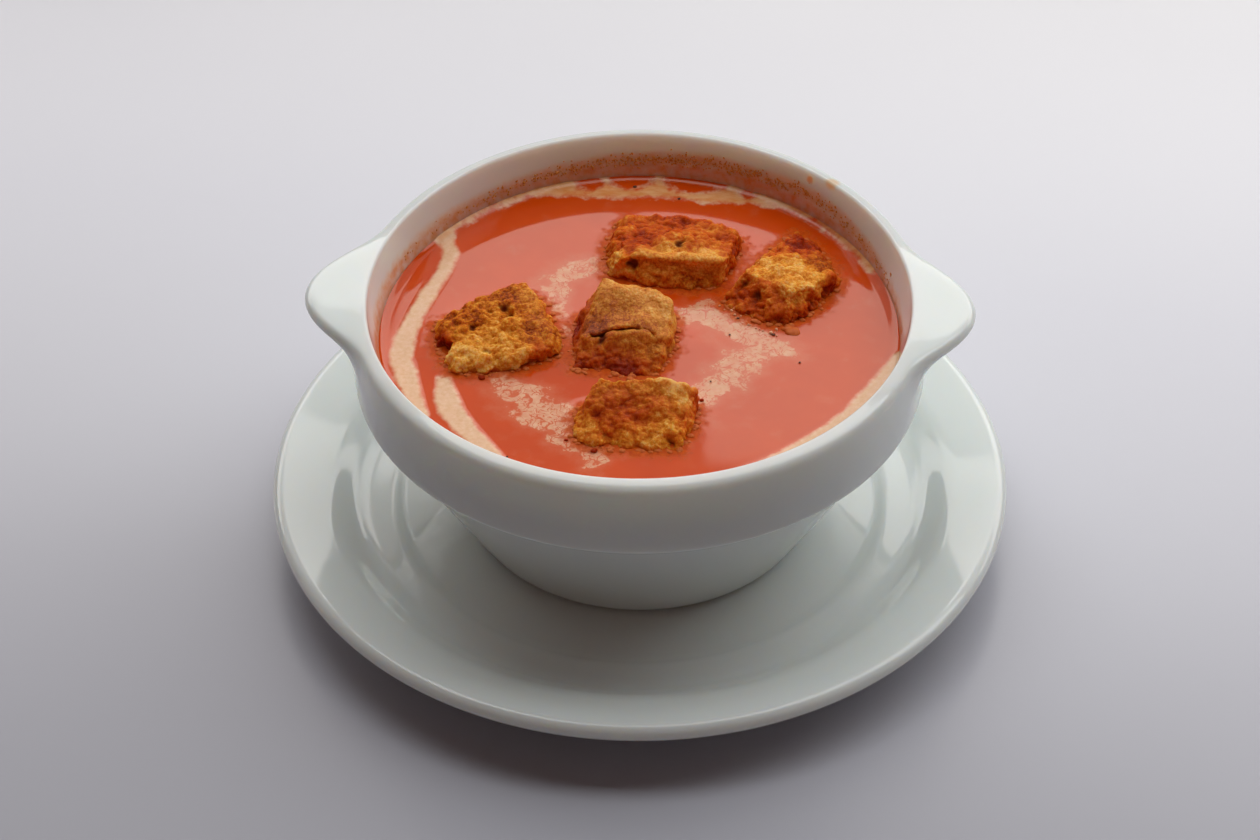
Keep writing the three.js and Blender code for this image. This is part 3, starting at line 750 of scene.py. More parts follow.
def rounded(corners, arc_points=8, longest=2.0, most=0.45):
    """A profile's corners as close points; a corner's curve takes at most a share of each side."""
    points = [np.array(corners[0][:2], float)]
    for before, here, after in zip(corners, corners[1:], corners[2:]):
        corner = np.array(here[:2], float)
        sides = [np.array(side[:2], float) - corner for side in (before, after)]
        lengths = [np.linalg.norm(side) for side in sides]
        ends = [corner + side / length * min(here[2], most * length) for side, length in zip(sides, lengths)]
        for t in np.linspace(0, 1, arc_points if here[2] else 1):
            points.append((1 - t) ** 2 * ends[0] + 2 * t * (1 - t) * corner + t ** 2 * ends[1])
    points.append(np.array(corners[-1][:2], float))
    close = [points[0]]
    for point in points[1:]:
        pieces = max(1, math.ceil(np.linalg.norm(point - close[-1]) / longest))
        start = close[-1]
        close.extend(start + (point - start) * k / pieces for k in range(1, pieces + 1))
    return np.array(close)


def arc(centre, radii, degrees):
    angles = np.radians(degrees)
    return np.stack([centre[0] + radii[0] * np.cos(angles), centre[1] + radii[1] * np.sin(angles)], 1)


def spaced(path, count):
    """The same path with evenly spaced points."""
    walked = np.concatenate([[0], np.cumsum(np.linalg.norm(np.diff(path, axis=0), axis=1))])
    stops = np.linspace(0, walked[-1], count)
    return np.stack([np.interp(stops, walked, path[:, axis]) for axis in (0, 1)], 1)


def saucer_profile():
    """The saucer's section, from the middle of its underside round the lip to the middle of its top."""
    lip_centre = (SAUCER_RADIUS - SAUCER_LIP_ROUND, SAUCER_LIP_Z - SAUCER_LIP_ROUND)
    lip = arc(lip_centre, (SAUCER_LIP_ROUND, SAUCER_LIP_ROUND), np.linspace(*SAUCER_LIP_ARC))
    under = rounded(SAUCER_UNDERSIDE + [(*lip[0], 0)])
    top = rounded([(*lip[-1], 0)] + SAUCER_TOP)
    return np.concatenate([under, lip[1:-1], top])


def bowl_profiles():
    """The bowl's sections between the lugs and through the tip of a lug, point for point."""
    outside = rounded(BOWL_OUTSIDE)
    tip_centre = (LUG_TIP_RADIUS - LUG_TIP_HALF, LUG_TIP_Z)
    rise = LUG_TIP_Z - LUG_TIP_HALF - LUG_ROOT_Z
    share = np.linspace(0, 1, COLLAR_POINTS + 1)[1:]
    turn = share * math.pi / 2
    collar = np.stack([np.full_like(share, COLLAR_RADIUS), LUG_ROOT_Z + rise * share], 1)
    underside = np.stack([
        COLLAR_RADIUS + (tip_centre[0] - COLLAR_RADIUS) * (1 - np.cos(turn)),
        LUG_ROOT_Z + rise * np.sin(turn),
    ], 1)
    tip = arc(tip_centre, (LUG_TIP_HALF, LUG_TIP_HALF), np.linspace(*LUG_TIP_ARC))
    rim = spaced(rounded(RIM_OUTSIDE, longest=RIM_FINENESS), 1 + len(tip) + LUG_DISH_POINTS)[1:]
    share = np.linspace(0, 1, LUG_DISH_POINTS + 1)[1:]
    dish = tip[-1] + (rim[-1] - tip[-1]) * share[:, None]
    dish[:, 1] -= LUG_DISH * np.sin(math.pi * share)
    inner_radius, inner_z, _ = BOWL_INSIDE[0]
    lip_radii = (RIM_CROWN_RADIUS - inner_radius, RIM_Z - inner_z)
    lip = arc((RIM_CROWN_RADIUS, inner_z), lip_radii, np.linspace(*RIM_LIP_ARC)[1:])
    inside = rounded(BOWL_INSIDE)
    plain = np.concatenate([outside, collar, rim, lip, inside])
    lug = np.concatenate([outside, underside, tip, dish, lip, inside])
    return plain, lug


def upright(section):
    """Points of (radius, height) in the XZ plane, in metres."""
    return np.stack([section[:, 0], np.zeros(len(section)), section[:, 1]], 1) * MM


def profile_mesh(plain, lug):
    """The profile's points in the XZ plane, with how far each point moves at the tip of a lug."""
    mesh = bpy.data.meshes.new("profile")
    mesh.from_pydata(upright(plain).tolist(), [(i, i + 1) for i in range(len(plain) - 1)], [])
    set_vector_attribute(mesh, "lug_move", upright(lug - plain))
    return mesh


def turning_tree():
    """Turns a profile round Z into a closed shell, pulls out two lugs and lets the glaze wave a little."""
    tree, maker, inputs, output = geometry_tree("turned_porcelain", {
        "Segments": ("NodeSocketInt", 64),
        "Crowding": ("NodeSocketFloat", 0.0),
        "Lug half angle": ("NodeSocketFloat", 0.4),
        "Lug point": ("NodeSocketFloat", 2.0),
        "Wave height": ("NodeSocketFloat", 0.0),
        "Wave size": ("NodeSocketFloat", 0.02),
        "Material": ("NodeSocketMaterial", None),
    })
    profile = inputs["Geometry"]
    count = maker.add("GeometryNodeAttributeDomainSize", {"Geometry": profile}).outputs["Point Count"]
    rows = maker.plus(inputs["Segments"], 1.0)
    grid = maker.add("GeometryNodeMeshGrid", {"Vertices X": rows, "Vertices Y": count}).outputs[0]
    index = maker.add("GeometryNodeInputIndex").outputs[0]
    row = maker.math("MODULO", index, count)
    column = maker.math("FLOOR", maker.over(maker.plus(index, 0.5), count))

    def sampled(value):
        sample = {"Geometry": profile, "Value": value, "Index": row}
        return maker.add("GeometryNodeSampleIndex", sample, data_type="FLOAT_VECTOR").outputs[0]

    place = sampled(maker.add("GeometryNodeInputPosition").outputs[0])
    move = sampled(maker.vector_attribute("lug_move"))
    even = maker.times(maker.over(column, inputs["Segments"]), 2 * math.pi)
    wobble = maker.math("SINE", maker.times(even, 2.0))
    angle = maker.minus(even, maker.times(wobble, maker.over(inputs["Crowding"], 2.0)))
    doubled = maker.times(angle, 2.0)
    away = maker.math("ARCTAN2", maker.math("SINE", doubled), maker.math("COSINE", doubled))
    away = maker.over(maker.math("ABSOLUTE", away), 2.0)
    share = maker.lower(maker.over(away, inputs["Lug half angle"]), 1.0)
    cosine = maker.higher(maker.math("COSINE", maker.times(share, math.pi / 2)), 0.0)
    lug = maker.math("POWER", cosine, inputs["Lug point"])
    moved = maker.add("ShaderNodeVectorMath", {0: move, 1: lug, 2: place}, operation="MULTIPLY_ADD")
    parts = maker.add("ShaderNodeSeparateXYZ", {0: moved.outputs[0]}).outputs
    around = maker.add("ShaderNodeCombineXYZ", {
        "X": maker.times(parts["X"], maker.math("COSINE", angle)),
        "Y": maker.times(parts["X"], maker.math("SINE", angle)),
        "Z": parts["Z"],
    })
    turned = maker.add("GeometryNodeSetPosition", {"Geometry": grid, "Position": around.outputs[0]})
    closed = maker.add("GeometryNodeMergeByDistance", {"Geometry": turned.outputs[0], "Distance": WELD})
    glazed = waved(maker, closed.outputs[0], inputs["Wave size"], inputs["Wave height"])
    end_tree(maker, glazed, inputs["Material"], output)
    return tree


def porcelain_material(name):
    material, maker, shader, where = new_material(name)
    tint = maker.ramp(maker.noise(where, *GLAZE_CLOUD), GLAZE_TINTS)
    roughness = maker.noise(where, *GLAZE_ROUGHNESS)
    maker.fill(shader, {"Base Color": tint, "Roughness": roughness, **GLAZE_BODY})
    return material, maker, shader, where, tint


def wall_height(maker, turn, heights):
    """Heights given at places round the bowl, carried by the greys of a ramp."""
    low, high = STAIN_HEIGHTS
    greys = [(place, ((height - low) / (high - low),) * 3) for place, height in heights]
    return maker.between(maker.ramp(turn, greys), low, high)


def stained_material(name):
    """Glaze with the soup's film on the inner wall, the dried line in its veil and the smears."""
    material, maker, shader, where, tint = porcelain_material(name)
    parts = maker.add("ShaderNodeSeparateXYZ", {0: where}).outputs
    x, y, z = (maker.over(parts[axis], MM) for axis in "XYZ")
    radius = maker.math("SQRT", maker.plus(maker.times(x, x), maker.times(y, y)))
    turn = maker.over(maker.math("ARCTAN2", y, x), 2 * math.pi)
    inside = maker.times(maker.fade(radius, *STAIN_RADII), maker.step(z, *STAIN_BOTTOM))
    waver = maker.noise(where, *STAIN_WAVER)

    film_top = wall_height(maker, maker.math("FRACT", maker.plus(turn, 1.0)), FILM_TOP)
    above = maker.minus(maker.plus(z, waver), film_top)
    film = maker.times(inside, maker.fade(above, *FILM_FADE))
    film = maker.times(film, maker.lower(maker.noise(where, *FILM_COVER), FILM_MOST))

    line = maker.math("MULTIPLY_ADD", waver, LINE_WAVER, wall_height(maker, turn, SPECK_LINE))
    off = maker.math("ABSOLUTE", maker.minus(z, line))
    reach = maker.times(maker.step(turn, *LINE_START), maker.fade(turn, *LINE_END))
    reach = maker.times(reach, inside)
    grain = maker.step(maker.noise(where, *LINE_GRAIN), *LINE_GRAIN_EDGE)
    gaps = maker.step(maker.noise(where, *LINE_GAPS), *LINE_GAPS_EDGE)
    specks = maker.times(maker.times(maker.fade(off, *LINE_FADE), reach), maker.times(grain, gaps))
    veil = maker.times(maker.fade(off, *VEIL_FADE), reach)
    veil = maker.times(veil, maker.noise(where, *VEIL_COVER))

    stain = maker.higher(film, maker.times(specks, LINE_STRENGTH))
    stain = maker.higher(stain, maker.lower(veil, VEIL_MOST))
    for centre, size, strength in SMEARS:
        ends = {0: where, 1: Vector(centre) * MM}
        gap = maker.add("ShaderNodeVectorMath", ends, operation="DISTANCE").outputs["Value"]
        blot = maker.plus(maker.over(gap, size * MM), maker.times(waver, LINE_WAVER))
        stain = maker.higher(stain, maker.times(maker.fade(blot, *SMEAR_FADE), strength))
    drying = maker.plus(maker.step(above, *STAIN_DRYING), maker.noise(where, *STAIN_GRAIN))
    maker.fill(shader, {"Base Color": maker.mix(stain, tint, maker.ramp(drying, STAIN_TINTS))})
    return material


def make_porcelain():
    tree = turning_tree()
    saucer = saucer_profile()
    pieces = [
        ("saucer", (saucer, saucer), SAUCER_SEGMENTS, 0.0, porcelain_material("saucer_glaze")[0]),
        ("bowl", bowl_profiles(), BOWL_SEGMENTS, LUG_CROWDING, stained_material("bowl_glaze")),
    ]
    for node, profiles, segments, crowding, glaze in pieces:
        mesh = run_tree(tree, profile_mesh(*profiles), {
            "Segments": segments,
            "Crowding": crowding,
            "Lug half angle": math.radians(LUG_HALF_ANGLE),
            "Lug point": LUG_POINT,
            "Wave height": GLAZE_WAVE * MM,
            "Wave size": GLAZE_WAVE_SIZE * MM,
            "Material": glaze,
        })
        new_piece(node + "_porcelain", mesh, glaze, [node])


# Bread


def smooth_noise(points, size, seed):
    """Noise between -1 and 1 at points in millimetres, with bumps of the given size."""
    shift = Vector([step * seed for step in NOISE_SHIFT])
    return np.array([noise.noise(Vector(point) / size + shift) for point in points.tolist()])


def crumb_domes(points, size, seed):
    """Crumbs packed side by side: 1 on the crown of a crumb, 0 in the creases between."""
    shift = Vector([step * seed for step in DOME_SHIFT])
    near = np.array([noise.voronoi(Vector(point) / size + shift)[0][0] for point in points.tolist()])
    return np.clip(1 - (near / CRUMB_REACH) ** 2, 0, 1)


def mesh_points(mesh):
    points = np.empty(len(mesh.vertices) * 3)
    mesh.vertices.foreach_get("co", points)
    return points.reshape(-1, 3) / MM


def mesh_normals(mesh):
    normals = np.empty(len(mesh.vertices) * 3)
    mesh.vertices.foreach_get("normal", normals)
    return normals.reshape(-1, 3)


def store_points(mesh, points):
    mesh.vertices.foreach_set("co", (points * MM).ravel())
    mesh.update()


def relaxed(points, edges, rounds):
    """Points drawn half way to the mean of their neighbours, to take the facets off."""
    degree = np.bincount(edges.ravel(), minlength=len(points))[:, None]
    for _ in range(rounds):
        total = np.zeros_like(points)
        np.add.at(total, edges[:, 0], points[edges[:, 1]])
        np.add.at(total, edges[:, 1], points[edges[:, 0]])
        points = (points + total / degree) / 2
    return points


def bread_base(node):
    """The cube's solid as an even, close mesh with its facets smoothed away."""
    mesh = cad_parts[node].data.copy()
    shell = bmesh.new()
    shell.from_mesh(mesh)
    bmesh.ops.remove_doubles(shell, verts=shell.verts, dist=WELD)
    shell.to_mesh(mesh)
    shell.free()

    def prepare(carrier):
        remesh = carrier.modifiers.new("even", "REMESH")
        remesh.mode = "VOXEL"
        remesh.voxel_size = BREAD_VOXEL * MM

    mesh = evaluated_mesh(mesh, prepare)
    edges = np.empty(len(mesh.edges) * 2, int)
    mesh.edges.foreach_get("vertices", edges)
    store_points(mesh, relaxed(mesh_points(mesh), edges.reshape(-1, 2), BREAD_SMOOTHING))
    return mesh


def toast_material():
    material, maker, shader, where = new_material("toasted_crumb")
    tone, soak, hole_shade, crust = (maker.attribute(name) for name in ("tone", "soak", "hole_shade", "crust"))
    grain = maker.noise(where, *TOAST_GRAIN)
    mottle = maker.noise(where, *TOAST_MOTTLE)
    shade = maker.plus(tone, maker.around(grain, TOAST_GRAIN_TONE))
    shade = maker.plus(shade, maker.around(mottle, TOAST_MOTTLE_TONE))
    wet = maker.plus(soak, maker.around(mottle, TOAST_WETNESS))
    wet = maker.plus(wet, maker.around(grain, TOAST_WETNESS))
    deep = maker.plus(wet, maker.around(tone, TOAST_WETNESS))
    crumb, broth = maker.ramp(shade, TOAST_TINTS), maker.ramp(deep, BROTH_TINTS)
    both = maker.mix(maker.step(wet, *BROTH_EDGE), crumb, broth)
    bump = maker.add("ShaderNodeBump", {
        "Height": maker.noise(where, *TOAST_BUMP),
        "Strength": TOAST_BUMP_STRENGTH,
        "Distance": TOAST_BUMP_DEPTH * MM,
    })
    maker.fill(shader, {
        # painted shade darkens the colour down in the holes
        "Base Color": maker.mix(maker.step(hole_shade, *HOLE_SHADE_EDGE), both, HOLE_SHADE_TINT),
        "Roughness": maker.between(maker.step(wet, *TOAST_GLOSS_EDGE), *TOAST_ROUGHNESS),
        "Specular IOR Level": maker.between(crust, *TOAST_SHEEN),
        "Normal": bump.outputs[0],
        **TOAST_BODY,
    })
    return material


def looks_at(points, plain, marks):
    """Tone, soak and crust of each point, drawn from the marks near it."""
    total = np.full(len(points), PLAIN_WEIGHT)
    looks = total[:, None] * np.array(plain)
    for x, y, rise, radius, *look in marks:
        gap = np.linalg.norm(points - np.array([x, y, SOUP_Z + rise]), axis=1)
        weight = np.exp(-(gap / radius) ** 2)
        total = total + weight
        looks = looks + weight[:, None] * np.array(look)
    return (looks / total[:, None]).T


def hole_depth(points, holes):
    """Depth of the open holes at each point."""
    deepest = np.zeros(len(points))
    for x, y, rise, radius, depth in holes:
        gap = np.linalg.norm(points - np.array([x, y, SOUP_Z + rise]), axis=1)
        deepest = np.maximum(deepest, depth * np.exp(-(gap / radius) ** 2))
    return deepest


def ridge_height(points, ridges):
    """Height of the ridges over the bread at each point; a groove has a negative height."""
    height = np.zeros(len(points))
    for start, end, radius, rise in ridges:
        start, end = (np.array([x, y, SOUP_Z + z]) for x, y, z in (start, end))
        along = end - start
        t = np.clip(((points - start) @ along) / (along @ along), 0, 1)
        gap = np.linalg.norm(points - start - t[:, None] * along, axis=1)
        height += rise * np.exp(-(gap / radius) ** 2)
    return height


def arched(points, middle, half_length, lift, reach):
    """Points carried up and down the face, so that the straight split there bends into an arch."""
    offset = points - np.array([middle[0], middle[1], SOUP_Z + middle[2]])
    bend = lift * (1 - 2 * (offset[:, 0] / half_length) ** 2)
    near = np.exp(-(offset[:, 1] ** 2 + offset[:, 2] ** 2) / reach ** 2)
    return points + np.array(ARCH_WAY) * (np.clip(bend, -lift, lift) * near)[:, None]


def shape_bread(mesh, looks, seed):
    """Raises crumbs, crags, holes and ridges on an even mesh and stores the look of each point."""
    points, normals = mesh_points(mesh), mesh_normals(mesh)
    tone, soak, crust = looks_at(points, looks["plain"], looks["marks"])
    crumb = 1 - CRUST_SMOOTHNESS * crust
    warp = np.column_stack([smooth_noise(points, WARP_SIZE, seed + shift) for shift in WARP_SEEDS])
    domes = sum(
        share * crumb_domes(points + CRUMB_WARP * warp, size, seed + CRUMB_SEED_STEP * level)
        for level, (size, share) in enumerate(CRUMB_SIZES)
    )
    domes = domes - sum(share for _, share in CRUMB_SIZES) * CRUMB_CREASE
    crags = sum(
        smooth_noise(points, CRAG_SIZE / 2 ** step, seed + CRAG_SEED_STEP * step) * CRAG_FADE ** step
        for step in range(CRAG_STEPS)
    )
    relief = crumb * CRUMB_HEIGHT * domes
    relief = relief + (CRAG_ON_CRUST + (1 - CRAG_ON_CRUST) * crumb) * CRAG_HEIGHT * crags
    edge = np.clip(1 - np.abs(points[:, 2] - SOUP_Z - FRINGE_RISE) / FRINGE_REACH, 0, 1)
    fringe = crumb_domes(points + warp, FRINGE_SIZE, seed + FRINGE_SEED) - FRINGE_CREASE
    relief = relief + FRINGE_HEIGHT * edge * fringe
    hollow = hole_depth(points + HOLE_WARP * warp, looks["holes"])
    moved = np.clip(relief - RELIEF_SINK, *RELIEF_RANGE) + ridge_height(points, looks["ridges"]) - hollow
    if "arch" in looks:
        points = arched(points, *looks["arch"])
    store_points(mesh, points + normals * moved[:, None])
    rise = points[:, 2] - SOUP_Z + SOAK_WAVER * smooth_noise(points, SOAK_WAVER_SIZE, seed + SOAK_SEED)
    low = np.clip((SOAK_RISE[1] - rise) / (SOAK_RISE[1] - SOAK_RISE[0]), 0, 1)
    # The depth of the holes is also kept as painted shade for their colour
    set_attribute(mesh, "hole_shade", np.clip(hollow, 0, 1))
    # painted shade in the creases and painted light on the crowns of crumbs and crags
    set_attribute(mesh, "tone", np.clip(tone - crumb * (DOME_SHADE * domes + CRAG_SHADE * crags), *TONE_RANGE))
    set_attribute(mesh, "soak", np.maximum(soak, low) - DOME_SOAK * crumb * domes)
    set_attribute(mesh, "crust", crust)


def make_bread():
    material = toast_material()
    pieces = []
    for seed, (node, looks) in enumerate(BREAD.items(), 1):
        mesh = bread_base(node)
        shape_bread(mesh, looks, seed)
        smooth_shaded(mesh)
        pieces.append(new_piece(node + "_toast", mesh, material, [node]))
    return pieces


def waterline(piece):
    """Convex outline of a bread cube where it stands in the soup, anticlockwise."""
    points = mesh_points(piece.data)
    points = points[np.abs(points[:, 2] - SOUP_Z - WATERLINE_RISE) < WATERLINE_HALF][:, :2]
    return points[geometry.convex_hull_2d([Vector(point) for point in points.tolist()])]


# Grains


def grain_tree():
    """Sets an uneven grain on every point, flattened along the point's outward direction."""
    tree, maker, inputs, output = geometry_tree("scattered_grains", {
        "Unevenness": ("NodeSocketFloat", 0.3),
        "Lump size": ("NodeSocketFloat", 0.001),
        "Material": ("NodeSocketMaterial", None),
    })
    grain = maker.add("GeometryNodeMeshIcoSphere", {"Radius": 1.0, "Subdivisions": GRAIN_SUBDIVISIONS})
    outward = {"Vector": maker.vector_attribute("out")}
    facing = maker.add("FunctionNodeAlignRotationToVector", outward, axis="Z")
    placed = maker.add("GeometryNodeInstanceOnPoints", {
        "Points": inputs["Geometry"],
        "Instance": grain.outputs["Mesh"],
        "Rotation": facing.outputs[0],
        "Scale": maker.vector_attribute("size"),
    })
    real = maker.add("GeometryNodeRealizeInstances", {"Geometry": placed.outputs[0]})
    lump = inputs["Lump size"]
    uneven = waved(maker, real.outputs[0], lump, maker.times(inputs["Unevenness"], lump))
    end_tree(maker, uneven, inputs["Material"], output)
    return tree


def grain_material(name):
    material, maker, shader, where = new_material(name)
    dark, light, roughness = GRAIN_LOOKS[name]
    tints = list(zip(GRAIN_STOPS, (dark, light)))
    maker.fill(shader, {
        "Base Color": maker.ramp(maker.noise(where, *GRAIN_MOTTLE), tints),
        "Roughness": maker.noise(where, *GRAIN_GLOSS, roughness, roughness + GRAIN_GLOSS_SPAN),
    })
    return material


def scatter(tree, name, places, outward, sizes, material, lump):
    """Grains of the given sizes at the given places, as one plain mesh."""
    mesh = bpy.data.meshes.new(name)
    mesh.from_pydata((np.array(places) * MM).tolist(), [], [])
    set_vector_attribute(mesh, "out", outward)
    set_vector_attribute(mesh, "size", np.array(sizes) * MM)
    values = {"Unevenness": GRAIN_UNEVENNESS, "Lump size": lump * MM, "Material": material}
    return new_piece(name, run_tree(tree, mesh, values), material)


def strew(tree, name, marks, material):
    """Grains lying on the soup at marks of (x, y, size)."""
    middle, shape, lump = GRAINS_LIE[name]
    places = [(x, y, SOUP_Z + CREAM_RISE + middle * size) for x, y, size in marks]
    sizes = [[size * share for share in shape] for *_, size in marks]
    return scatter(tree, name, places, [(0, 0, 1)] * len(marks), sizes, material, lump)


def make_wall_specks(tree, draw):
    """Dried specks on the inner wall, near the speck line."""
    turns = np.clip(draw.normal(*SPECK_TURNS, SPECK_COUNT), *SPECK_ENDS)
    height = np.interp(turns, *zip(*SPECK_LINE)) + draw.normal(*SPECK_SPREAD, SPECK_COUNT)
    (high_radius, high_z, _), (low_radius, low_z, _) = BOWL_INSIDE[:2]
    lean = (high_radius - low_radius) / (high_z - low_z)
    radius = low_radius + (height - low_z) * lean
    angle = turns * 2 * math.pi
    across, along = np.cos(angle), np.sin(angle)
    places = np.stack([radius * across, radius * along, height], 1)
    outward = np.stack([-across, -along, np.full(SPECK_COUNT, lean)], 1)
    length = draw.uniform(*SPECK_SIZES, SPECK_COUNT)
    width = length * draw.uniform(*SPECK_WIDTHS, SPECK_COUNT)
    sizes = np.stack([length, width, np.full(SPECK_COUNT, SPECK_HEIGHT)], 1)
    scatter(tree, "wall_specks", places, outward, sizes, grain_material("dried_soup"), SPECK_LUMPS)


def soaked_marks(piece, draw):
    """Places and sizes of the crumbs along the waterline of a cube."""
    line = waterline(piece)
    sides = np.roll(line, -1, 0) - line
    lengths = np.linalg.norm(sides, axis=1)
    corner = draw.choice(len(line), SOAKED_CRUMBS, p=lengths / lengths.sum())
    start, side = line[corner], sides[corner]
    spot = start + side * draw.random(SOAKED_CRUMBS)[:, None]
    side = side / np.maximum(lengths[corner], WELD)[:, None]
    outward = np.stack([side[:, 1], -side[:, 0]], 1)
    spot = spot + outward * draw.normal(*SOAKED_SPREAD, SOAKED_CRUMBS)[:, None]
    return np.column_stack([spot, draw.uniform(*SOAKED_SIZES, SOAKED_CRUMBS)]).tolist()


def bubble_marks(draw):
    """Places and sizes of a few bubbles round each given place."""
    marks = []
    for x, y in BUBBLES:
        shifts = [draw.normal(*spread, BUBBLES_EACH) for spread in BUBBLE_SPREADS]
        sizes = draw.uniform(*BUBBLE_SIZES, BUBBLES_EACH)
        marks += [(x + dx, y + dy, size) for dx, dy, size in zip(*shifts, sizes)]
    return marks


def make_grains(bread):
    tree = grain_tree()
    draw = np.random.default_rng(GRAIN_SEED)
    make_wall_specks(tree, draw)
    strew(tree, "pepper_specks", PEPPER, grain_material("ground_pepper"))
    crumbs = strew(tree, "loose_crumbs", CRUMBS, bread[0].data.materials[0])
    for label, value in CRUMB_LOOK.items():
        set_attribute(crumbs.data, label, np.full(len(crumbs.data.vertices), value))
    soaked = [mark for piece in bread for mark in soaked_marks(piece, draw)]
    strew(tree, "soaked_crumbs", soaked, grain_material("soaked_crumb"))
    strew(tree, "soup_drops", DROPS, grain_material("soup_drop"))
    strew(tree, "cream_bubbles", bubble_marks(draw), grain_material("cream_foam"))


# Soup


def smooth_stroke(line, widths, steps=8):
    """The stroke's points and widths carried through smooth curves between the given ones."""
    values = np.column_stack([np.array(line, float), widths])
    padded = np.vstack([2 * values[0] - values[1], values, 2 * values[-1] - values[-2]])
    result = []
    for a, b, c, d in zip(padded, padded[1:], padded[2:], padded[3:]):
        square, cube = 2 * a - 5 * b + 4 * c - d, 3 * b - a - 3 * c + d
        for t in np.arange(steps) / steps:
            result.append(0.5 * (2 * b + (c - a) * t + square * t ** 2 + cube * t ** 3))
    result.append(values[-1])
    result = np.array(result)
    return result[:, :2], result[:, 2]


def stroke_field(points, line, widths):
    """How far each point lies inside a stroke of cream with these widths, negative outside."""
    line, widths = smooth_stroke(line, widths)
    best = np.full(len(points), -FAR_OFF)
    for start, end, first, last in zip(line, line[1:], widths, widths[1:]):
        along = end - start
        t = np.clip(((points - start) @ along) / (along @ along), 0, 1)
        gap = np.linalg.norm(points - start - t[:, None] * along, axis=1)
        best = np.maximum(best, (first + (last - first) * t) / 2 - gap)
    return best


def far_ring():
    """The stroke of cream along the far wall, widest in the middle."""
    angles = np.linspace(*FAR_RING["span"])
    swell = np.exp(-((angles - FAR_RING["middle"]) / FAR_RING["reach"]) ** 4)
    widths = FAR_RING["ends"] + FAR_RING["width"] * swell
    radii = FAR_RING["outer"] - widths / 2
    angles = np.radians(angles)
    return np.stack([radii * np.cos(angles), radii * np.sin(angles)], 1), widths


def island_field(points):
    """How far each point lies inside the bare red islands between the far cream and the wall."""
    best = np.full(len(points), -FAR_OFF)
    for x, y, half_length, half_width in ISLANDS:
        out = np.array([x, y]) / math.hypot(x, y)
        across = (points - (x, y)) @ out
        along = (points - (x, y)) @ np.array([-out[1], out[0]])
        best = np.maximum(best, half_width * (1 - np.hypot(along / half_length, across / half_width)))
    return best


def outline_gap(points, outline):
    """Distance of points in the plane to a convex outline, 0 inside it."""
    inside = np.ones(len(points), bool)
    gap = np.full(len(points), FAR_OFF)
    for start, end in zip(outline, np.roll(outline, -1, 0)):
        along = end - start
        from_start = points - start
        inside &= along[0] * from_start[:, 1] - along[1] * from_start[:, 0] >= 0
        t = np.clip((from_start @ along) / (along @ along), 0, 1)
        gap = np.minimum(gap, np.linalg.norm(from_start - t[:, None] * along, axis=1))
    return np.where(inside, 0, gap)


def disc_grid(count):
    """Points of a square grid carried on to the unit disc, the grid's faces and its rim."""
    steps = np.linspace(-1, 1, count)
    x, y = np.meshgrid(steps, steps, indexing="ij")
    x, y = x.ravel(), y.ravel()
    wide = np.abs(x) > np.abs(y)
    with np.errstate(divide="ignore", invalid="ignore"):
        angle = np.where(wide, math.pi / 4 * y / x, math.pi / 2 - math.pi / 4 * x / y)
    angle = np.nan_to_num(angle)
    radius = np.where(wide, x, y)
    index = np.arange(count * count).reshape(count, count)
    faces = np.stack([index[:-1, :-1], index[1:, :-1], index[1:, 1:], index[:-1, 1:]], -1).reshape(-1, 4)
    rim = np.concatenate([index[:-1, 0], index[-1, :-1], index[:0:-1, -1], index[0, :0:-1]])
    return np.stack([radius * np.cos(angle), radius * np.sin(angle)], 1), faces, rim


def cream_lace(maker, where, patch):
    """Cover of the thin cream between the cubes, broken by veins, with a haze round it."""
    spread = maker.plus(patch, maker.noise(where, *LACE_TEAR))
    lace = maker.times(maker.step(spread, *LACE_EDGE), maker.noise(where, *LACE_COVER))
    for size, width, strength in VEINS:
        field = maker.noise(where, size, VEIN_DETAIL, roughness=VEIN_ROUGHNESS, distortion=VEIN_DISTORTION)
        off = maker.math("ABSOLUTE", maker.minus(field, NOISE_MIDDLE))
        breaks = maker.noise(where, size * VEIN_BREAK_SIZE, VEIN_BREAK_DETAIL)
        vein = maker.times(maker.fade(off, 0.0, width), maker.step(breaks, *VEIN_BREAK_EDGE))
        lace = maker.times(lace, maker.minus(1.0, maker.times(vein, strength)))
    haze = maker.times(maker.step(spread, *HAZE_EDGE), HAZE_COVER)
    return maker.higher(maker.lower(lace, LACE_MOST), haze)


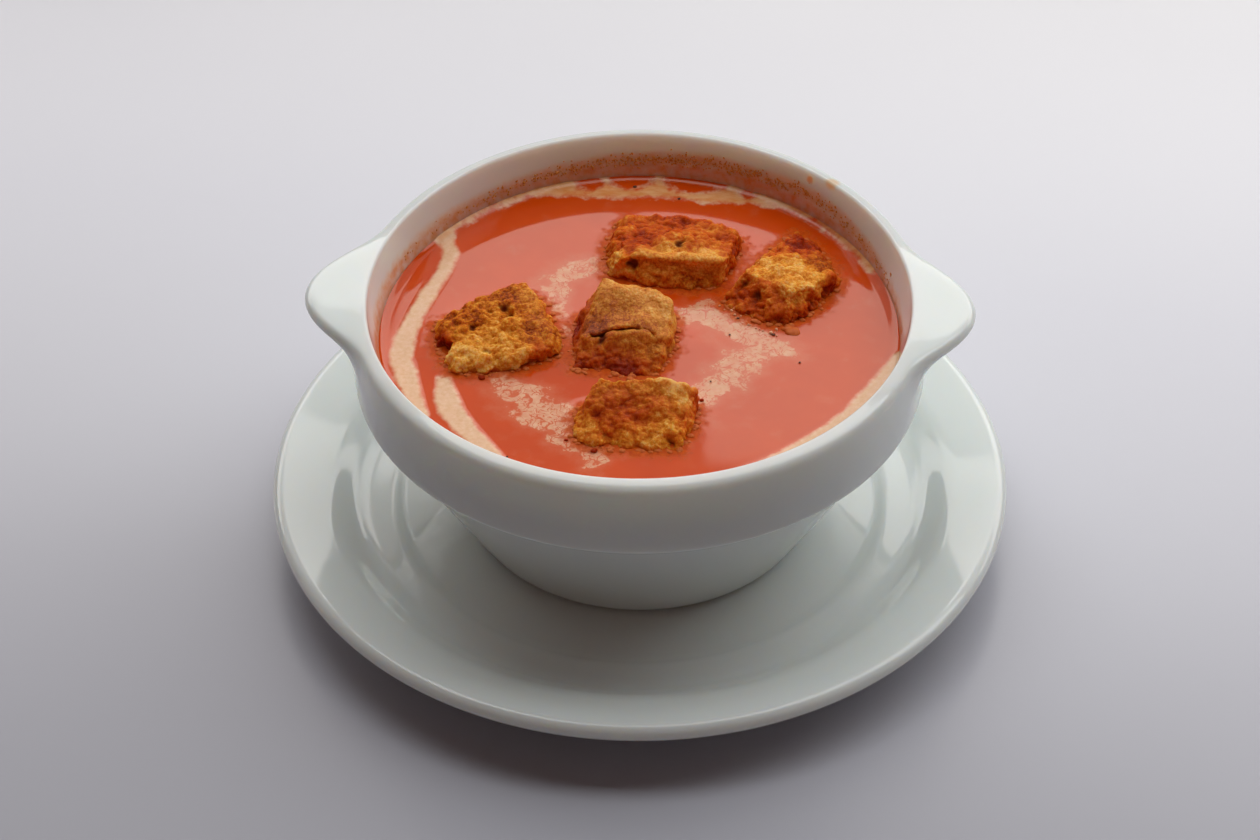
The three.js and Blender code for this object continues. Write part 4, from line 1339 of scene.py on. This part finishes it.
def soup_material():
    material, maker, shader, where = new_material("tomato_soup")
    cream, patch, ring, bread = (maker.attribute(name) for name in ("cream", "patch", "ring", "bread"))
    far = maker.step(ring, *FAR_EDGE)
    tear = maker.times(maker.noise(where, *RIBBON_TEAR), maker.between(far, *RIBBON_TEAR_REACH))
    sway = maker.times(maker.noise(where, *RIBBON_SWAY), maker.between(far, *RIBBON_SWAY_REACH))
    edge = maker.plus(maker.plus(cream, tear), sway)
    ribbon = maker.step(edge, maker.between(far, *RIBBON_START), RIBBON_FULL)
    cover = maker.higher(ribbon, cream_lace(maker, where, patch))
    hem = maker.fade(maker.plus(bread, maker.noise(where, *HEM_FRAY)), *HEM_EDGE)

    tomato = maker.ramp(maker.noise(where, *TOMATO_CLOUD), TOMATO_TINTS)
    milk = maker.ramp(maker.noise(where, *MILK_GRAIN), MILK_TINTS)
    streak = maker.add("ShaderNodeMapping", {"Vector": where, "Scale": TINGED_STRETCH}).outputs[0]
    tinged = maker.ramp(maker.noise(streak, *TINGED_GRAIN), TINGED_TINTS)
    milk = maker.mix(maker.step(ring, *TINGED_EDGE), milk, tinged)
    both = maker.mix(cover, tomato, milk)
    # The hem's darker red is partly the bread's soaked fringe and partly painted shade at the waterline
    soaked = maker.ramp(maker.noise(where, *HEM_GRAIN), HEM_SOAK_AND_SHADE_TINTS)
    roughness = maker.between(cover, *SOUP_ROUGHNESS)
    maker.fill(shader, {
        "Base Color": maker.mix(maker.times(hem, HEM_COVER), both, soaked),
        "Roughness": maker.math("MULTIPLY_ADD", hem, HEM_ROUGHNESS, roughness),
        "Specular IOR Level": maker.between(hem, *SOUP_SHEEN),
        **SOUP_BODY,
    })
    return material


def soup_surface(flat, bread):
    """Height of the soup's surface at points in the plane, and its fields of cream, lace and bread."""
    depth = SOUP_RADIUS - np.linalg.norm(flat, axis=1)
    height = SOUP_Z + WALL_MENISCUS[0] * np.exp(-depth / WALL_MENISCUS[1])
    beside = np.full(len(flat), FAR_OFF)
    for piece in bread:
        gap = outline_gap(flat, waterline(piece))
        beside = np.minimum(beside, gap)
        height += BREAD_MENISCUS[0] * np.exp(-gap / BREAD_MENISCUS[1])
    level = np.column_stack([flat, np.zeros(len(flat))])
    height += SOUP_SWELL[0] * smooth_noise(level, SOUP_SWELL[1], SOUP_SEED)
    bare = island_field(flat)
    cream = stroke_field(flat, *far_ring())
    ring = np.minimum(cream, -bare)
    for stroke in CREAM_RIBBONS:
        cream = np.maximum(cream, stroke_field(flat, *stroke))
    cream = np.minimum(cream, -bare)
    patch = np.max([stroke_field(flat, *stroke) for stroke in CREAM_PATCHES], axis=0)
    thick = np.clip(0.5 + cream / CREAM_SLOPE, 0, 1)
    height += CREAM_RISE * thick * thick * (3 - 2 * thick)
    return height, {"cream": cream, "ring": ring, "patch": patch, "bread": beside}


def closed_below(points, faces, rim):
    """The surface closed by rings down the bowl's inside, as points and polygons."""
    rings = rounded(BOWL_INSIDE[1:], arc_points=2, longest=SOUP_UNDER_STEP)
    rings = rings[rings[:, 0] < SOUP_RADIUS - SOUP_UNDER_INSET]
    angles = np.arctan2(points[rim, 1], points[rim, 0])
    sections = [points]
    loops = [rim]
    start = len(points)
    for radius, z in rings[:-1]:
        level = np.full(len(rim), z + SOUP_UNDER_GAP)
        sections.append(np.column_stack([radius * np.cos(angles), radius * np.sin(angles), level]))
        loops.append(np.arange(start, start + len(rim)))
        start += len(rim)
    sections.append(np.array([[0, 0, rings[-1][1] + SOUP_UNDER_GAP]]))
    polygons = faces.tolist()
    for above, below in zip(loops, loops[1:]):
        polygons += np.stack([above, below, np.roll(below, -1), np.roll(above, -1)], 1).tolist()
    last = loops[-1]
    polygons += np.stack([last, np.full(len(last), start), np.roll(last, -1)], 1).tolist()
    return np.concatenate(sections), polygons


def make_soup(bread):
    """The soup up to its level, closed below, where it counts as bare of cream and far from the bread."""
    flat, faces, rim = disc_grid(SOUP_GRID)
    flat = flat * SOUP_RADIUS
    height, fields = soup_surface(flat, bread)
    points, polygons = closed_below(np.column_stack([flat, height]), faces, rim)
    mesh = bpy.data.meshes.new("soup")
    mesh.from_pydata((points * MM).tolist(), [], polygons)
    shell = bmesh.new()
    shell.from_mesh(mesh)
    bmesh.ops.recalc_face_normals(shell, faces=shell.faces)
    shell.to_mesh(mesh)
    shell.free()
    for name, values in fields.items():
        below = np.full(len(points) - len(flat), FAR_OFF if name == "bread" else -FAR_OFF)
        values = np.concatenate([values, below])
        set_attribute(mesh, name, np.clip(values, -SOUP_FIELD_REACH, SOUP_FIELD_REACH))
    smooth_shaded(mesh)
    new_piece("tomato_soup", mesh, soup_material(), ["soup"])


make_camera()
make_light()
make_floor()
make_porcelain()
bread = make_bread()
make_soup(bread)
make_grains(bread)
